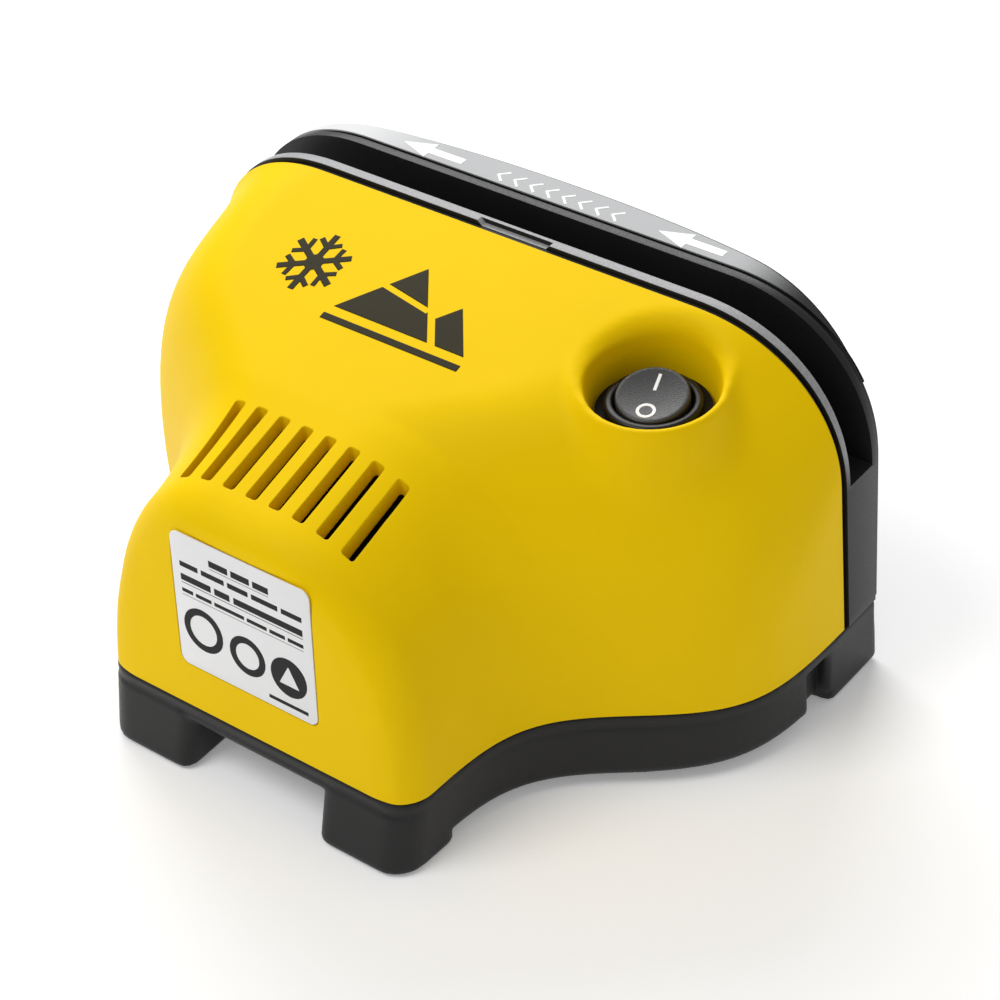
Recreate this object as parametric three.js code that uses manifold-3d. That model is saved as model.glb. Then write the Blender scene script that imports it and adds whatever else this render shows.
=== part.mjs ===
// Bench-top electric scraper sharpener: a motor housing in front, an upright guide frame with an
// open slot behind it, and a milling cutter that reaches up through the slot's floor.
// Millimetres. X runs along the slot, +Y is the back, +Z is up.
// The origin is on the bench, in the middle of the tool's footprint.
import * as THREE from "three";
import { mergeVertices } from "three/addons/utils/BufferGeometryUtils.js";
import Module from "manifold-3d";

const wasm = await Module();
wasm.setup();

// ---------------------------------------------------------------- driving dimensions
const HALF_WIDTH = 96.5; // guide frame, either side of the middle
const FRONT_Y = -69; // front feet
const REAR_Y = 69; // back of the rear cover, at its middle
const TOP_Z = 104; // top of the guide frame and the rear cover
const PARTING_Z = 20; // joint between the base tray and everything above it
const GROUND_GAP = 4; // clearance under the base tray, between the feet
const FIT_GAP = 0.3; // clearance between neighbouring pieces

const SHELL_FRONT_Y = -64; // front of the motor bulge at the parting line
const SHELL_LEAN = 0.09; // how much the bulge's front face leans back per millimetre of height
const SEAM_Y = 41.6; // rear edge of the front shell, at the top
const SEAM_LEAN = 0.03; // how much that edge moves back per millimetre further down
const SHELL_WALL = 2.6;
const BULGE_HALF_WIDTH = 46;
const FRONT_EDGE_RADIUS = 9; // rounding where the bulge's front face meets its sides

const FRAME_FRONT_Y = 43.2; // front face of the guide frame, at the top
const SLOT_FRONT_Y = 45.8; // slot wall nearest the motor
const SLOT_REAR_Y = 55.6;
const SLOT_FLOOR_Z = 63.8;
const FRAME_REAR_Y = 57.8; // back of the thin wall behind the slot
const COVER_FRONT_Y = 58.2;
const ARCH_RADIUS = 41; // corner of the frame's outline
const ARCH_POWER = 2.2; // 2 is a circular corner, more is squarer

const AXIS_Z = 42; // motor, shaft and cutter
const CUTTER_RADIUS = 22;
const CUTTER_TEETH = 8;
const SHAFT_RADIUS = 2.5;

const SWITCH_X = 58.5;
const SWITCH_Y = 21.5;
const SWITCH_TURN = THREE.MathUtils.degToRad(17); // the rocker's I-O line is turned this far from Y
const BEZEL_RADIUS = 11.5;
const SEAT_Z = 87.8; // floor of the switch well
const SEAT_RADIUS = 14.8;
const LIP_Z = 95; // free edge of the collar round the switch well
const WELL_TAPER = 0.18; // how much the well widens per millimetre of height
const WELL_DRIFT = [0.09, -0.107]; // and how much it leans towards the front right, in X and Y
const ROCKER_TILT = THREE.MathUtils.degToRad(11); // either side of level

// ---------------------------------------------------------------- materials
const finish = (color, roughness, metalness = 0) =>
  new THREE.MeshStandardMaterial({ color, roughness, metalness });
const YELLOW = finish(0xf7d500, 0.5);
const BLACK = finish(0x1b1b1c, 0.6);
const GREY_PRINT = finish(0xb9bbbc, 0.5);
const RUBBER = finish(0x151515, 0.9);
const PLATE = finish(0xdcdcdc, 0.45);
const STEEL = finish(0xb4b7ba, 0.35, 1);
const ZINC = finish(0x9da1a4, 0.4, 1);
const BRASS = finish(0xb58d3a, 0.35, 1);
const COPPER = finish(0xb06a3c, 0.4, 1);
const GRAPHITE = finish(0x303030, 0.7);
const RED_WIRE = finish(0xa01812, 0.5);
const BLACK_WIRE = finish(0x101010, 0.5);

// ---------------------------------------------------------------- solid helpers
function toSolid(geometry) {
  const bare = geometry.clone();
  bare.deleteAttribute("normal");
  bare.deleteAttribute("uv");
  const merged = mergeVertices(bare, 1e-4);
  const index = merged.getIndex().array;
  const kept = [];
  for (let i = 0; i < index.length; i += 3) {
    const [a, b, c] = [index[i], index[i + 1], index[i + 2]];
    if (a !== b && b !== c && c !== a) kept.push(a, b, c);
  }
  return new wasm.Manifold(new wasm.Mesh({
    numProp: 3,
    vertProperties: new Float32Array(merged.getAttribute("position").array),
    triVerts: new Uint32Array(kept),
  }));
}

function toGeometry(solid) {
  const mesh = solid.getMesh();
  const geometry = new THREE.BufferGeometry();
  const positions = new Float32Array(mesh.vertProperties);
  geometry.setAttribute("position", new THREE.BufferAttribute(positions, 3));
  geometry.setIndex(new THREE.BufferAttribute(new Uint32Array(mesh.triVerts), 1));
  geometry.computeVertexNormals();
  return geometry;
}

function cut(body, ...tools) {
  return toGeometry(tools.reduce((solid, tool) => solid.subtract(toSolid(tool)), toSolid(body)));
}

function join(body, ...others) {
  return toGeometry(others.reduce((solid, other) => solid.add(toSolid(other)), toSolid(body)));
}

const common = (a, b) => toGeometry(toSolid(a).intersect(toSolid(b)));

function box(x0, x1, y0, y1, z0, z1) {
  const geometry = new THREE.BoxGeometry(x1 - x0, y1 - y0, z1 - z0);
  return geometry.translate((x0 + x1) / 2, (y0 + y1) / 2, (z0 + z1) / 2);
}

// The same box on both sides of the middle plane.
function mirrored([x0, x1], [y0, y1], z0, z1) {
  return [box(x0, x1, y0, y1, z0, z1), box(-x1, -x0, y0, y1, z0, z1)];
}

// A rod along Z from z0 to z1, centred on (x, y).
function postZ(x, y, z0, z1, radius, sides = 24, topRadius = radius) {
  const rod = new THREE.CylinderGeometry(topRadius, radius, z1 - z0, sides);
  return rod.rotateX(Math.PI / 2).translate(x, y, (z0 + z1) / 2);
}

// A rod along Y from y0 to y1, centred on (x, z).
function rodY(x, z, y0, y1, radius, sides = 24) {
  return new THREE.CylinderGeometry(radius, radius, y1 - y0, sides).translate(x, (y0 + y1) / 2, z);
}

// Turns [radius, y] points round the motor axis.
function turned(points, sides = 24) {
  const profile = points.map(([radius, y]) => new THREE.Vector2(radius, y));
  return new THREE.LatheGeometry(profile, sides).translate(0, 0, AXIS_Z);
}

// Extrudes an outline drawn in X and Z along +Y, from y0 to y1.
function slabY(shape, y0, y1, curveSegments = 8) {
  const options = { depth: y1 - y0, bevelEnabled: false, curveSegments };
  return new THREE.ExtrudeGeometry(shape, options).rotateX(Math.PI / 2).translate(0, y1, 0);
}

// Extrudes an outline drawn in X and Y along +Z, from z0 to z1.
function slabZ(shape, z0, z1, curveSegments = 8) {
  const options = { depth: z1 - z0, bevelEnabled: false, curveSegments };
  return new THREE.ExtrudeGeometry(shape, options).translate(0, 0, z0);
}

// Slants a piece so that it follows the leaning joint between the shell and the frame.
function leaning(geometry) {
  const backPerHeight = new THREE.Matrix4().makeShear(0, 0, 0, 0, 0, -SEAM_LEAN);
  return geometry.translate(0, 0, -TOP_Z).applyMatrix4(backPerHeight).translate(0, 0, TOP_Z);
}

// Skins closed rings of equal length and caps both ends with fans. Seen from the last ring, looking
// back at the first, the rings run anticlockwise.
function loft(rings) {
  const count = rings[0].length;
  const positions = rings.flat().flatMap((p) => [p.x, p.y, p.z]);
  const index = [];
  for (let r = 0; r + 1 < rings.length; r += 1) {
    for (let i = 0; i < count; i += 1) {
      const a = r * count + i;
      const b = r * count + ((i + 1) % count);
      index.push(a, b, a + count, b, b + count, a + count);
    }
  }
  const addCap = (ring, first, flip) => {
    const centre = ring.reduce((sum, p) => sum.add(p), new THREE.Vector3()).divideScalar(count);
    const hub = positions.length / 3;
    positions.push(centre.x, centre.y, centre.z);
    for (let i = 0; i < count; i += 1) {
      const [a, b] = [first + i, first + ((i + 1) % count)];
      index.push(...(flip ? [hub, b, a] : [hub, a, b]));
    }
  };
  addCap(rings[0], 0, true);
  addCap(rings.at(-1), (rings.length - 1) * count, false);
  const geometry = new THREE.BufferGeometry();
  geometry.setAttribute("position", new THREE.Float32BufferAttribute(positions, 3));
  geometry.setIndex(index);
  return geometry;
}

// ---------------------------------------------------------------- outlines
function roundedRectangle(x, y, halfWidth, halfHeight, radius) {
  const outline = new THREE.Shape();
  const [right, up] = [halfWidth - radius, halfHeight - radius];
  outline.absarc(x + right, y + up, radius, 0, Math.PI / 2, false);
  outline.absarc(x - right, y + up, radius, Math.PI / 2, Math.PI, false);
  outline.absarc(x - right, y - up, radius, Math.PI, 1.5 * Math.PI, false);
  outline.absarc(x + right, y - up, radius, 1.5 * Math.PI, 2 * Math.PI, false);
  return outline;
}

// One corner of an arch, from its upright side to its level top, as [across, down] offsets.
function archCorner(radiusX, radiusZ, steps) {
  return Array.from({ length: steps + 1 }, (_, i) => {
    const angle = (i / steps) * (Math.PI / 2);
    const across = radiusX * (1 - Math.max(0, Math.cos(angle)) ** (2 / ARCH_POWER));
    const down = radiusZ * (1 - Math.sin(angle) ** (2 / ARCH_POWER));
    return [across, down];
  });
}

// The round-shouldered outline of the guide frame, drawn in X and Z and moved in by `inset`.
function archShape(inset, bottom, steps = 8) {
  const halfWidth = HALF_WIDTH - inset;
  const top = TOP_Z - inset;
  const corner = archCorner(ARCH_RADIUS - inset, ARCH_RADIUS - inset, steps);
  const side = (sign) => corner.map(
    ([across, down]) => new THREE.Vector2(sign * (halfWidth - across), top - down));
  const feet = [new THREE.Vector2(-halfWidth, bottom), new THREE.Vector2(halfWidth, bottom)];
  return new THREE.Shape([...feet, ...side(1), ...side(-1).reverse()]);
}

const slabFromArch = (inset, bottom, y0, y1) => slabY(archShape(inset, bottom), y0, y1);

// Plan of the back: deepest in the middle and tapering to the frame's thickness at both ends.
function backDepth(x, inset = 0) {
  const u = Math.min(1, Math.abs(x) / HALF_WIDTH);
  return COVER_FRONT_Y + (REAR_Y - COVER_FRONT_Y) * (1 - u ** 2.25) ** 1.1 - inset;
}

function backPlan(inset, front, steps = 12) {
  const halfWidth = HALF_WIDTH - inset;
  const curve = Array.from({ length: steps + 1 }, (_, i) => {
    const x = halfWidth * Math.cos((i / steps) * Math.PI);
    return new THREE.Vector2(x, Math.max(backDepth(x, inset), front + 0.2));
  });
  const corners = [new THREE.Vector2(-halfWidth, front), new THREE.Vector2(halfWidth, front)];
  return new THREE.Shape([...corners, ...curve]);
}

// Half-width of the housing in plan: the motor bulge opens into the wings along an S-curve.
const FLARE_LENGTH = 8.9;
const FLARE_MIDDLE_Y = -8.2;
const LEFT_FLARE_FORWARD = 6; // the left wing starts this much further forward
const MOTOR_X = -1.5; // the bulge, its motor and its vents stand this far from the frame's middle

function housingHalfWidth(y, side) {
  const bulge = BULGE_HALF_WIDTH + side * MOTOR_X;
  const middle = FLARE_MIDDLE_Y - (side < 0 ? LEFT_FLARE_FORWARD : 0);
  return bulge + (HALF_WIDTH - 0.3 - bulge) / (1 + Math.exp((middle - y) / FLARE_LENGTH));
}

// ---------------------------------------------------------------- front shell
const FRONT_EDGE_DROP = 5.5; // how far the crown falls across that rounding
const CROWN_SLOPE = 0.233; // the shell's top falls this much per millimetre towards the front
const SHELL_TOP_Z = TOP_Z - 0.8;

const crownHeight = (y) => SHELL_TOP_Z - CROWN_SLOPE * (SEAM_Y - y);

// One cross-section of the housing at station y, moved in by `inset`, running down to z = bottom.
// `edge` runs from 0 to 1 across the rounding of the front face.
function housingRing(y, inset, bottom, edge = 0) {
  const behind = Math.max(0, y) / SEAM_Y;
  const ahead = Math.min(1, Math.max(0, -y / 40));
  const top = crownHeight(y) - inset - edge * FRONT_EDGE_DROP;
  const lean = SHELL_LEAN * Math.min(1, Math.max(0, (-20 - y) / 35));
  const half = (side) => {
    const halfWidth = housingHalfWidth(y, side) - inset - edge * FRONT_EDGE_RADIUS;
    const radiusX = Math.min(halfWidth * 0.97, 58 - 18 * behind ** 2);
    const radiusZ = Math.min(top - PARTING_Z - 1, 68 - 28 * behind ** 2 - 20 * ahead);
    const corner = archCorner(radiusX, radiusZ, 9).map(
      ([across, down]) => new THREE.Vector3(side * (halfWidth - across), 0, top - down));
    return [new THREE.Vector3(side * halfWidth, 0, bottom), ...corner];
  };
  const ring = [...half(-1), new THREE.Vector3(0, 0, top), ...half(1).reverse()];
  return ring.map((p) => p.setY(y + lean * (p.z - PARTING_Z)));
}

function housingSolid(inset, bottom, rear) {
  const front = SHELL_FRONT_Y + inset;
  const edgeRings = [0, 1, 2, 3].map((k) => {
    const angle = (k / 4) * (Math.PI / 2);
    const y = front + FRONT_EDGE_RADIUS * (1 - Math.cos(angle));
    return housingRing(y, inset, bottom, 1 - Math.sin(angle));
  });
  const stations = [-55, -46, -38, -31, -25, -20, -15, -11, -7, -3, 1, 6, 12, 19, 28, 36, rear];
  return loft([...edgeRings, ...stations.map((y) => housingRing(y, inset, bottom))]);
}

const VENT_COUNT = 8;
const VENT_PITCH = 7.06;
const VENT_WIDTH = 3.4;
const VENT_MIDDLE_X = -2;
const VENT_FRONT_Y = -48.6;
const VENT_REAR_Y = -26.6;
const VENT_DEPTH = 4; // the ribs between the slots are thicker than the rest of the wall

function ventSlots() {
  const middleY = (VENT_FRONT_Y + VENT_REAR_Y) / 2;
  const halfLength = (VENT_REAR_Y - VENT_FRONT_Y) / 2;
  return Array.from({ length: VENT_COUNT }, (_, i) => {
    const x = VENT_MIDDLE_X + (i - (VENT_COUNT - 1) / 2) * VENT_PITCH;
    return slabZ(roundedRectangle(x, middleY, VENT_WIDTH / 2, halfLength, 0.8), 60, TOP_Z, 2);
  });
}

// The space under the vents that the thicker ribs take out of the shell's hollow.
function ventThickening() {
  const reach = (VENT_COUNT / 2) * VENT_PITCH + 1;
  const [left, right] = [VENT_MIDDLE_X - reach, VENT_MIDDLE_X + reach];
  const above = box(left, right, VENT_FRONT_Y - 3, VENT_REAR_Y + 3, 55, TOP_Z);
  return cut(above, housingSolid(VENT_DEPTH, PARTING_Z, SEAM_Y));
}

const PLATE_WIDTH = 43;
const PLATE_HEIGHT = 39;
const PLATE_MIDDLE_Z = 52.6;
const PLATE_DEPTH = 0.6;

// A rounded rectangle lying in the bulge's leaning front face, from `near` to `far` behind that face.
function frontFacePanel(grow, near, far) {
  const halfWidth = PLATE_WIDTH / 2 + grow;
  const halfHeight = PLATE_HEIGHT / 2 + grow;
  const panel = roundedRectangle(0, 0, halfWidth, halfHeight, 2.5 + grow);
  const y = SHELL_FRONT_Y + SHELL_LEAN * (PLATE_MIDDLE_Z - PARTING_Z);
  const tilted = slabY(panel, near, far, 4).rotateX(-Math.atan(SHELL_LEAN));
  return tilted.translate(MOTOR_X, y, PLATE_MIDDLE_Z);
}

const COLLAR_WALL = 1.4; // at the lip
const WELL_WALL = 2; // further down
const COLLAR_SIDES = 30;
const SEAT_DEPTH = 2.6; // how far the seat's ledge lies below the seat's face
const wellRadius = (z) => SEAT_RADIUS + WELL_TAPER * (z - SEAT_Z);

// A level circle round the well's own axis at height z, moved by (dx, dy).
function wellRing(z, radius, dx = 0, dy = 0) {
  const x = SWITCH_X + WELL_DRIFT[0] * (z - SEAT_Z) + dx;
  const y = SWITCH_Y + WELL_DRIFT[1] * (z - SEAT_Z) + dy;
  return Array.from({ length: COLLAR_SIDES }, (_, i) => {
    const turn = (i / COLLAR_SIDES) * 2 * Math.PI;
    return new THREE.Vector3(x + radius * Math.cos(turn), y + radius * Math.sin(turn), z);
  });
}

// The tapering space of the switch well between two heights, or with `grow` its wall as well.
function wellCone(z0, z1, grow = 0) {
  return loft([wellRing(z0, wellRadius(z0) + grow), wellRing(z1, wellRadius(z1) + grow)]);
}

// The collar round the switch well stands almost upright, then leans back into the housing as it
// goes down.
function switchCollar() {
  const outer = wellRadius(LIP_Z) + COLLAR_WALL;
  return loft([
    wellRing(LIP_Z - 34, outer + 8, -6.3, 0.6),
    wellRing(LIP_Z - 12, outer + 2.8, 0, 0),
    wellRing(LIP_Z, outer),
  ]);
}

const FRONT_POSTS = [[MOTOR_X + 40.5, -46], [MOTOR_X - 40.5, -46]];
const REAR_POSTS = [[87, 33], [-87, 33]];
const CASE_POSTS = [...FRONT_POSTS, ...REAR_POSTS];
const POST_TOP_Z = 40;
const PILOT_RADIUS = 1.8;

function frontShell() {
  const outer = housingSolid(0, PARTING_Z, SEAM_Y + 3);
  const inner = housingSolid(SHELL_WALL, PARTING_Z - 5, SEAM_Y + 5);
  const wellWall = wellCone(SEAT_Z - 5, TOP_Z + 5, WELL_WALL);
  const reach = leaning(box(-HALF_WIDTH, HALF_WIDTH, -80, SEAM_Y, PARTING_Z, TOP_Z));
  const body = common(join(outer, switchCollar()), reach);
  const hollow = cut(inner, wellWall, ventThickening());
  const posts = CASE_POSTS.map(([x, y]) => common(body, postZ(x, y, PARTING_Z, POST_TOP_Z, 4)));
  const [postX, postY] = REAR_POSTS[0];
  const webs = mirrored([postX, HALF_WIDTH], [postY - 1, postY + 1], PARTING_Z, POST_TOP_Z)
    .map((web) => common(body, web));
  const pilots = CASE_POSTS.map(([x, y]) => postZ(x, y, PARTING_Z - 1, POST_TOP_Z - 4, PILOT_RADIUS, 8));
  const well = wellCone(SEAT_Z - SEAT_DEPTH, TOP_Z + 5);
  const wellBottom = postZ(SWITCH_X, SWITCH_Y, SEAT_Z - 8, SEAT_Z - 2, SEAT_RADIUS - 2.5, 20);
  const recess = frontFacePanel(0.3, -3, PLATE_DEPTH);
  const shell = cut(body, hollow, ...ventSlots(), well, wellBottom, recess);
  return cut(join(shell, ...posts, ...webs), ...pilots);
}

const ratingPlate = () => frontFacePanel(0, -0.1, PLATE_DEPTH - FIT_GAP);

// ---------------------------------------------------------------- guide frame and rear cover
const FLOOR_THICKNESS = 3.2;
const END_WALL = 5;
const CUTTER_OPENING_HALF = 14.5;
const GUIDE_PLATE_LENGTH = 34;
const GUIDE_PLATE_THICKNESS = 1;
const SHAFT_OPENING_RADIUS = 16;
const WIRE_HOLE = [-50, 33]; // where the supply leads pass through the frame, in X and Z
const COVER_SCREWS = [[70, 30], [-70, 30], [70, 54], [-70, 54]]; // X and Z
const BRACKET_SCREWS = [[27, 15], [-27, 15], [27, -16], [-27, -16]]; // from the motor axis, in X and Z

const axisX = (dx) => MOTOR_X + dx;
const axisZ = (dz) => AXIS_Z + dz;

// A steel strip let into the slot's floor, or with `grow` the seat that holds it. The seat opens
// into the cutter opening.
function guidePlate(side, grow = 0) {
  const inner = CUTTER_OPENING_HALF + (grow > 0 ? -1 : 0.5);
  const outer = CUTTER_OPENING_HALF + GUIDE_PLATE_LENGTH + grow;
  const [x0, x1] = side > 0 ? [inner, outer] : [-outer, -inner];
  const [y0, y1] = [SLOT_FRONT_Y + 1.3 - grow, SLOT_REAR_Y - 1.3 + grow];
  const bottom = SLOT_FLOOR_Z - GUIDE_PLATE_THICKNESS - grow;
  return box(axisX(x0), axisX(x1), y0, y1, bottom, SLOT_FLOOR_Z + grow);
}

// The rim's front leans with the joint; the wall inside it stands upright, to carry the motor.
function frameSlab() {
  const reach = leaning(box(-110, 110, FRAME_FRONT_Y, REAR_Y + 10, 0, TOP_Z + 5));
  const rim = common(slabFromArch(0, PARTING_Z, FRAME_FRONT_Y - 1, FRAME_REAR_Y), reach);
  return join(rim, slabFromArch(END_WALL, PARTING_Z, FRAME_FRONT_Y, FRAME_REAR_Y));
}

function guideFrame() {
  const slot = box(-110, 110, SLOT_FRONT_Y, SLOT_REAR_Y, SLOT_FLOOR_Z, TOP_Z + 5);
  const inside = HALF_WIDTH - END_WALL;
  const ceiling = SLOT_FLOOR_Z - FLOOR_THICKNESS;
  const cavity = box(-inside, inside, SLOT_FRONT_Y, SLOT_REAR_Y, PARTING_Z - 5, ceiling);
  const [left, right] = [axisX(-CUTTER_OPENING_HALF), axisX(CUTTER_OPENING_HALF)];
  const opening = box(left, right, SLOT_FRONT_Y, SLOT_REAR_Y, ceiling - 5, SLOT_FLOOR_Z + 1);
  const behindWall = SLOT_FRONT_Y + 0.5;
  const shaftHole = rodY(MOTOR_X, AXIS_Z, FRAME_FRONT_Y - 1, behindWall, SHAFT_OPENING_RADIUS, 32);
  const wireHole = rodY(...WIRE_HOLE, FRAME_FRONT_Y - 1, FRAME_REAR_Y + 1, 5, 16);
  const notch = box(-8, 13, FRAME_FRONT_Y - 1, FRAME_FRONT_Y + 1.2, TOP_Z - 1.3, TOP_Z + 1);
  const posts = COVER_SCREWS.map(
    ([x, z]) => rodY(x, z, SLOT_FRONT_Y - 0.5, SLOT_REAR_Y + 0.5, 4, 16));
  const pilots = COVER_SCREWS.map(
    ([x, z]) => rodY(x, z, SLOT_FRONT_Y + 2, FRAME_REAR_Y + 1, PILOT_RADIUS, 8));
  const bracketHoles = BRACKET_SCREWS.map(
    ([dx, dz]) => rodY(axisX(dx), axisZ(dz), FRAME_FRONT_Y - 1, behindWall, PILOT_RADIUS, 8));
  const plateSeats = [guidePlate(1, 0.15), guidePlate(-1, 0.15)];
  const frame = cut(frameSlab(), slot, cavity, opening, shaftHole, wireHole, notch, ...plateSeats);
  return cut(join(frame, ...posts), ...pilots, ...bracketHoles);
}

function shellSeal() {
  const outer = slabFromArch(1.3, PARTING_Z + 0.5, SEAM_Y + FIT_GAP, FRAME_FRONT_Y - FIT_GAP);
  const inner = slabFromArch(4.5, PARTING_Z - 5, SEAM_Y - 2, FRAME_FRONT_Y + 2);
  return leaning(cut(outer, inner));
}

const LABEL_THICKNESS = 0.4;
const COVER_INSET = 0.8; // the cover stands this far inside the frame's outline
const LABEL_BOTTOM_Z = 84;

function rearCover() {
  const wall = 2.2;
  const planned = (inset) => slabZ(backPlan(inset, COVER_FRONT_Y - 1), 0, TOP_Z + 5);
  const back = common(slabFromArch(COVER_INSET, PARTING_Z, COVER_FRONT_Y, REAR_Y + 1), planned(0));
  const insideArch = slabFromArch(COVER_INSET + wall, PARTING_Z + wall, COVER_FRONT_Y - 1, REAR_Y);
  const hollow = common(insideArch, planned(wall));
  const posts = COVER_SCREWS.map(([x, z]) => common(back, rodY(x, z, COVER_FRONT_Y, REAR_Y, 5, 14)));
  const holes = COVER_SCREWS.map(([x, z]) => rodY(x, z, COVER_FRONT_Y - 1, REAR_Y, 1.9, 10));
  const sinks = COVER_SCREWS.map(([x, z]) => rodY(x, z, COVER_FRONT_Y + 2.4, REAR_Y + 2, 3.5, 14));
  const socketHole = rodY(SOCKET_X, SOCKET_Z, COVER_FRONT_Y, REAR_Y + 2, SOCKET_RADIUS + FIT_GAP);
  return cut(join(cut(back, hollow), ...posts), ...holes, ...sinks, socketHole);
}

function directionLabel() {
  const outer = slabFromArch(0, PARTING_Z, COVER_FRONT_Y + 0.9, REAR_Y);
  const inner = slabFromArch(LABEL_THICKNESS, PARTING_Z - 5, COVER_FRONT_Y - 1, REAR_Y + 1);
  const plan = slabZ(backPlan(1.2, COVER_FRONT_Y + 0.9), LABEL_BOTTOM_Z, TOP_Z + 5);
  return common(cut(outer, inner), plan);
}

// ---------------------------------------------------------------- base tray
const BASE_WALL = 2.6;
const BASE_FLOOR = 2.5;
const PAD_HEIGHT = 0.9;
const LEG_BOTTOM_Z = PAD_HEIGHT + 0.2;
const RIM_HEIGHT = 4; // the band under the parting line that hardly flares
const SIDE_FLARE = 0.3; // outwards, from the rim to the legs
const FRONT_FLARE = 4.7; // forwards, in addition to the side flare
const FRONT_LEG_REAR_Y = -49.5;
const REAR_LEG = { x: [75.5, 110], y: [37, 80] };
const NOTCH = { half: 20.5, rear: -53, top: 13 }; // between the front legs
const RECESS = { x: 92.6, y: [29, 37], top: 16 }; // ahead of each rear leg

// The tray's plan, `inset` inside its outline: a negative inset flares it, except along the back.
// `spread` slides the front forward.
function trayPlan(inset, spread) {
  const sideStations = [-48, -38, -30, -24, -18, -13, -8, -4, 0, 5, 11, 18, 27, 45];
  const flank = (side) => {
    const corner = [0, 1, 2, 3].map((k) => {
      const angle = (k / 4) * (Math.PI / 2);
      const half = BULGE_HALF_WIDTH + side * MOTOR_X;
      return [half - 8 * (1 - Math.sin(angle)), SHELL_FRONT_Y + 8 * (1 - Math.cos(angle))];
    });
    const along = sideStations.map((y) => [housingHalfWidth(y, side), y]);
    return [...corner, ...along].map(([x, y]) => new THREE.Vector2(side * x, y));
  };
  const rear = Array.from({ length: 15 }, (_, i) => {
    const x = (HALF_WIDTH - 0.3) * Math.cos((i / 14) * Math.PI);
    return new THREE.Vector2(x, backDepth(x));
  });
  const outline = [...flank(1), ...rear, ...flank(-1).reverse()];
  const count = outline.length;
  return outline.map((p, i) => {
    const before = outline[(i + count - 1) % count];
    const after = outline[(i + 1) % count];
    const along = after.clone().sub(before).normalize();
    const inward = new THREE.Vector2(-along.y, along.x).multiplyScalar(inset);
    if (p.y > SEAM_Y && inset < 0) inward.set(Math.abs(p.x) > 90 ? inward.x : 0, 0);
    if (p.y > SEAM_Y && inset > 0) {
      const limit = HALF_WIDTH - 0.3 - inset;
      inward.set(THREE.MathUtils.clamp(p.x, -limit, limit) - p.x, -inset);
    }
    const forward = spread * THREE.MathUtils.clamp((30 - p.y) / 40, 0, 1);
    return new THREE.Vector2(p.x + inward.x, p.y + inward.y - forward);
  });
}

const ringAt = (plan, z) => plan.map((p) => new THREE.Vector3(p.x, p.y, z));

// The tray's outer shape, from z = bottom up to the parting line.
function trayBlock(bottom) {
  const top = PARTING_Z - FIT_GAP;
  const rim = top - RIM_HEIGHT;
  const flared = (z) => {
    const part = (rim - z) / (rim - LEG_BOTTOM_Z);
    return ringAt(trayPlan(-SIDE_FLARE * part, 0.6 + (FRONT_FLARE - 0.6) * part), z);
  };
  const [shoulder, edge] = [ringAt(trayPlan(0, 0.3), rim), ringAt(trayPlan(0, 0), top)];
  return loft([flared(bottom), flared(rim - 0.4), shoulder, edge]);
}

function baseTray() {
  const top = PARTING_Z - FIT_GAP;
  const inner = loft([
    ringAt(trayPlan(BASE_WALL, 2), GROUND_GAP + BASE_FLOOR),
    ringAt(trayPlan(BASE_WALL, 0), top + 3),
  ]);
  const notchBox = (grow) => box(
    axisX(-NOTCH.half - grow), axisX(NOTCH.half + grow), -80, NOTCH.rear + grow, 0, NOTCH.top + grow);
  const recesses = mirrored([RECESS.x, 110], RECESS.y, 0, RECESS.top);
  const [recessFront, recessRear] = RECESS.y;
  const recessWalls = mirrored(
    [RECESS.x - BASE_WALL, 110], [recessFront - BASE_WALL, recessRear + BASE_WALL], 0, top + 5);
  const legTop = GROUND_GAP + 1;
  const frontReach = box(-60, 60, -80, FRONT_LEG_REAR_Y, 0, legTop);
  const legs = [frontReach, ...mirrored(REAR_LEG.x, REAR_LEG.y, 0, legTop)]
    .map((reach) => common(trayBlock(LEG_BOTTOM_Z), reach));
  const hollow = cut(inner, notchBox(BASE_WALL), ...recessWalls);
  const posts = CASE_POSTS.map(([x, y]) => postZ(x, y, GROUND_GAP, top, 5.4, 14));
  const sinks = CASE_POSTS.map(([x, y]) => postZ(x, y, 0, 14, 3.6, 14));
  const holes = CASE_POSTS.map(([x, y]) => postZ(x, y, 0, top + 1, 1.9, 10));
  const chipOutlet = box(axisX(-16), axisX(16), SLOT_FRONT_Y, SLOT_REAR_Y, 0, 12);
  const shell = cut(trayBlock(GROUND_GAP), hollow);
  return cut(join(shell, ...legs, ...posts), ...sinks, ...holes, chipOutlet, notchBox(0), ...recesses);
}

const FRONT_PAD = { x: 33, y: -60, halfWidth: 8.5, halfDepth: 5.5 };
const REAR_PAD = { x: 86, y: 48.5, halfWidth: 8, halfDepth: 8 };
const PADS = [[1, FRONT_PAD], [-1, FRONT_PAD], [1, REAR_PAD], [-1, REAR_PAD]];

function footPad(side, pad) {
  const outline = roundedRectangle(side * pad.x, pad.y, pad.halfWidth, pad.halfDepth, 3);
  return slabZ(outline, 0, PAD_HEIGHT, 4);
}

// ---------------------------------------------------------------- switch
function switchSeat() {
  const bottom = SEAT_Z - SEAT_DEPTH + FIT_GAP;
  const outer = wellRadius(bottom) - 2 * FIT_GAP;
  const disc = postZ(SWITCH_X, SWITCH_Y, bottom, SEAT_Z - FIT_GAP, outer, COLLAR_SIDES);
  return cut(disc, postZ(SWITCH_X, SWITCH_Y, SEAT_Z - 5, SEAT_Z + 2, BEZEL_RADIUS - 1.1, 24));
}

const POCKET_RADIUS = 9.4;
const POCKET_FLOOR_Z = SEAT_Z - 6.5;

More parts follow.
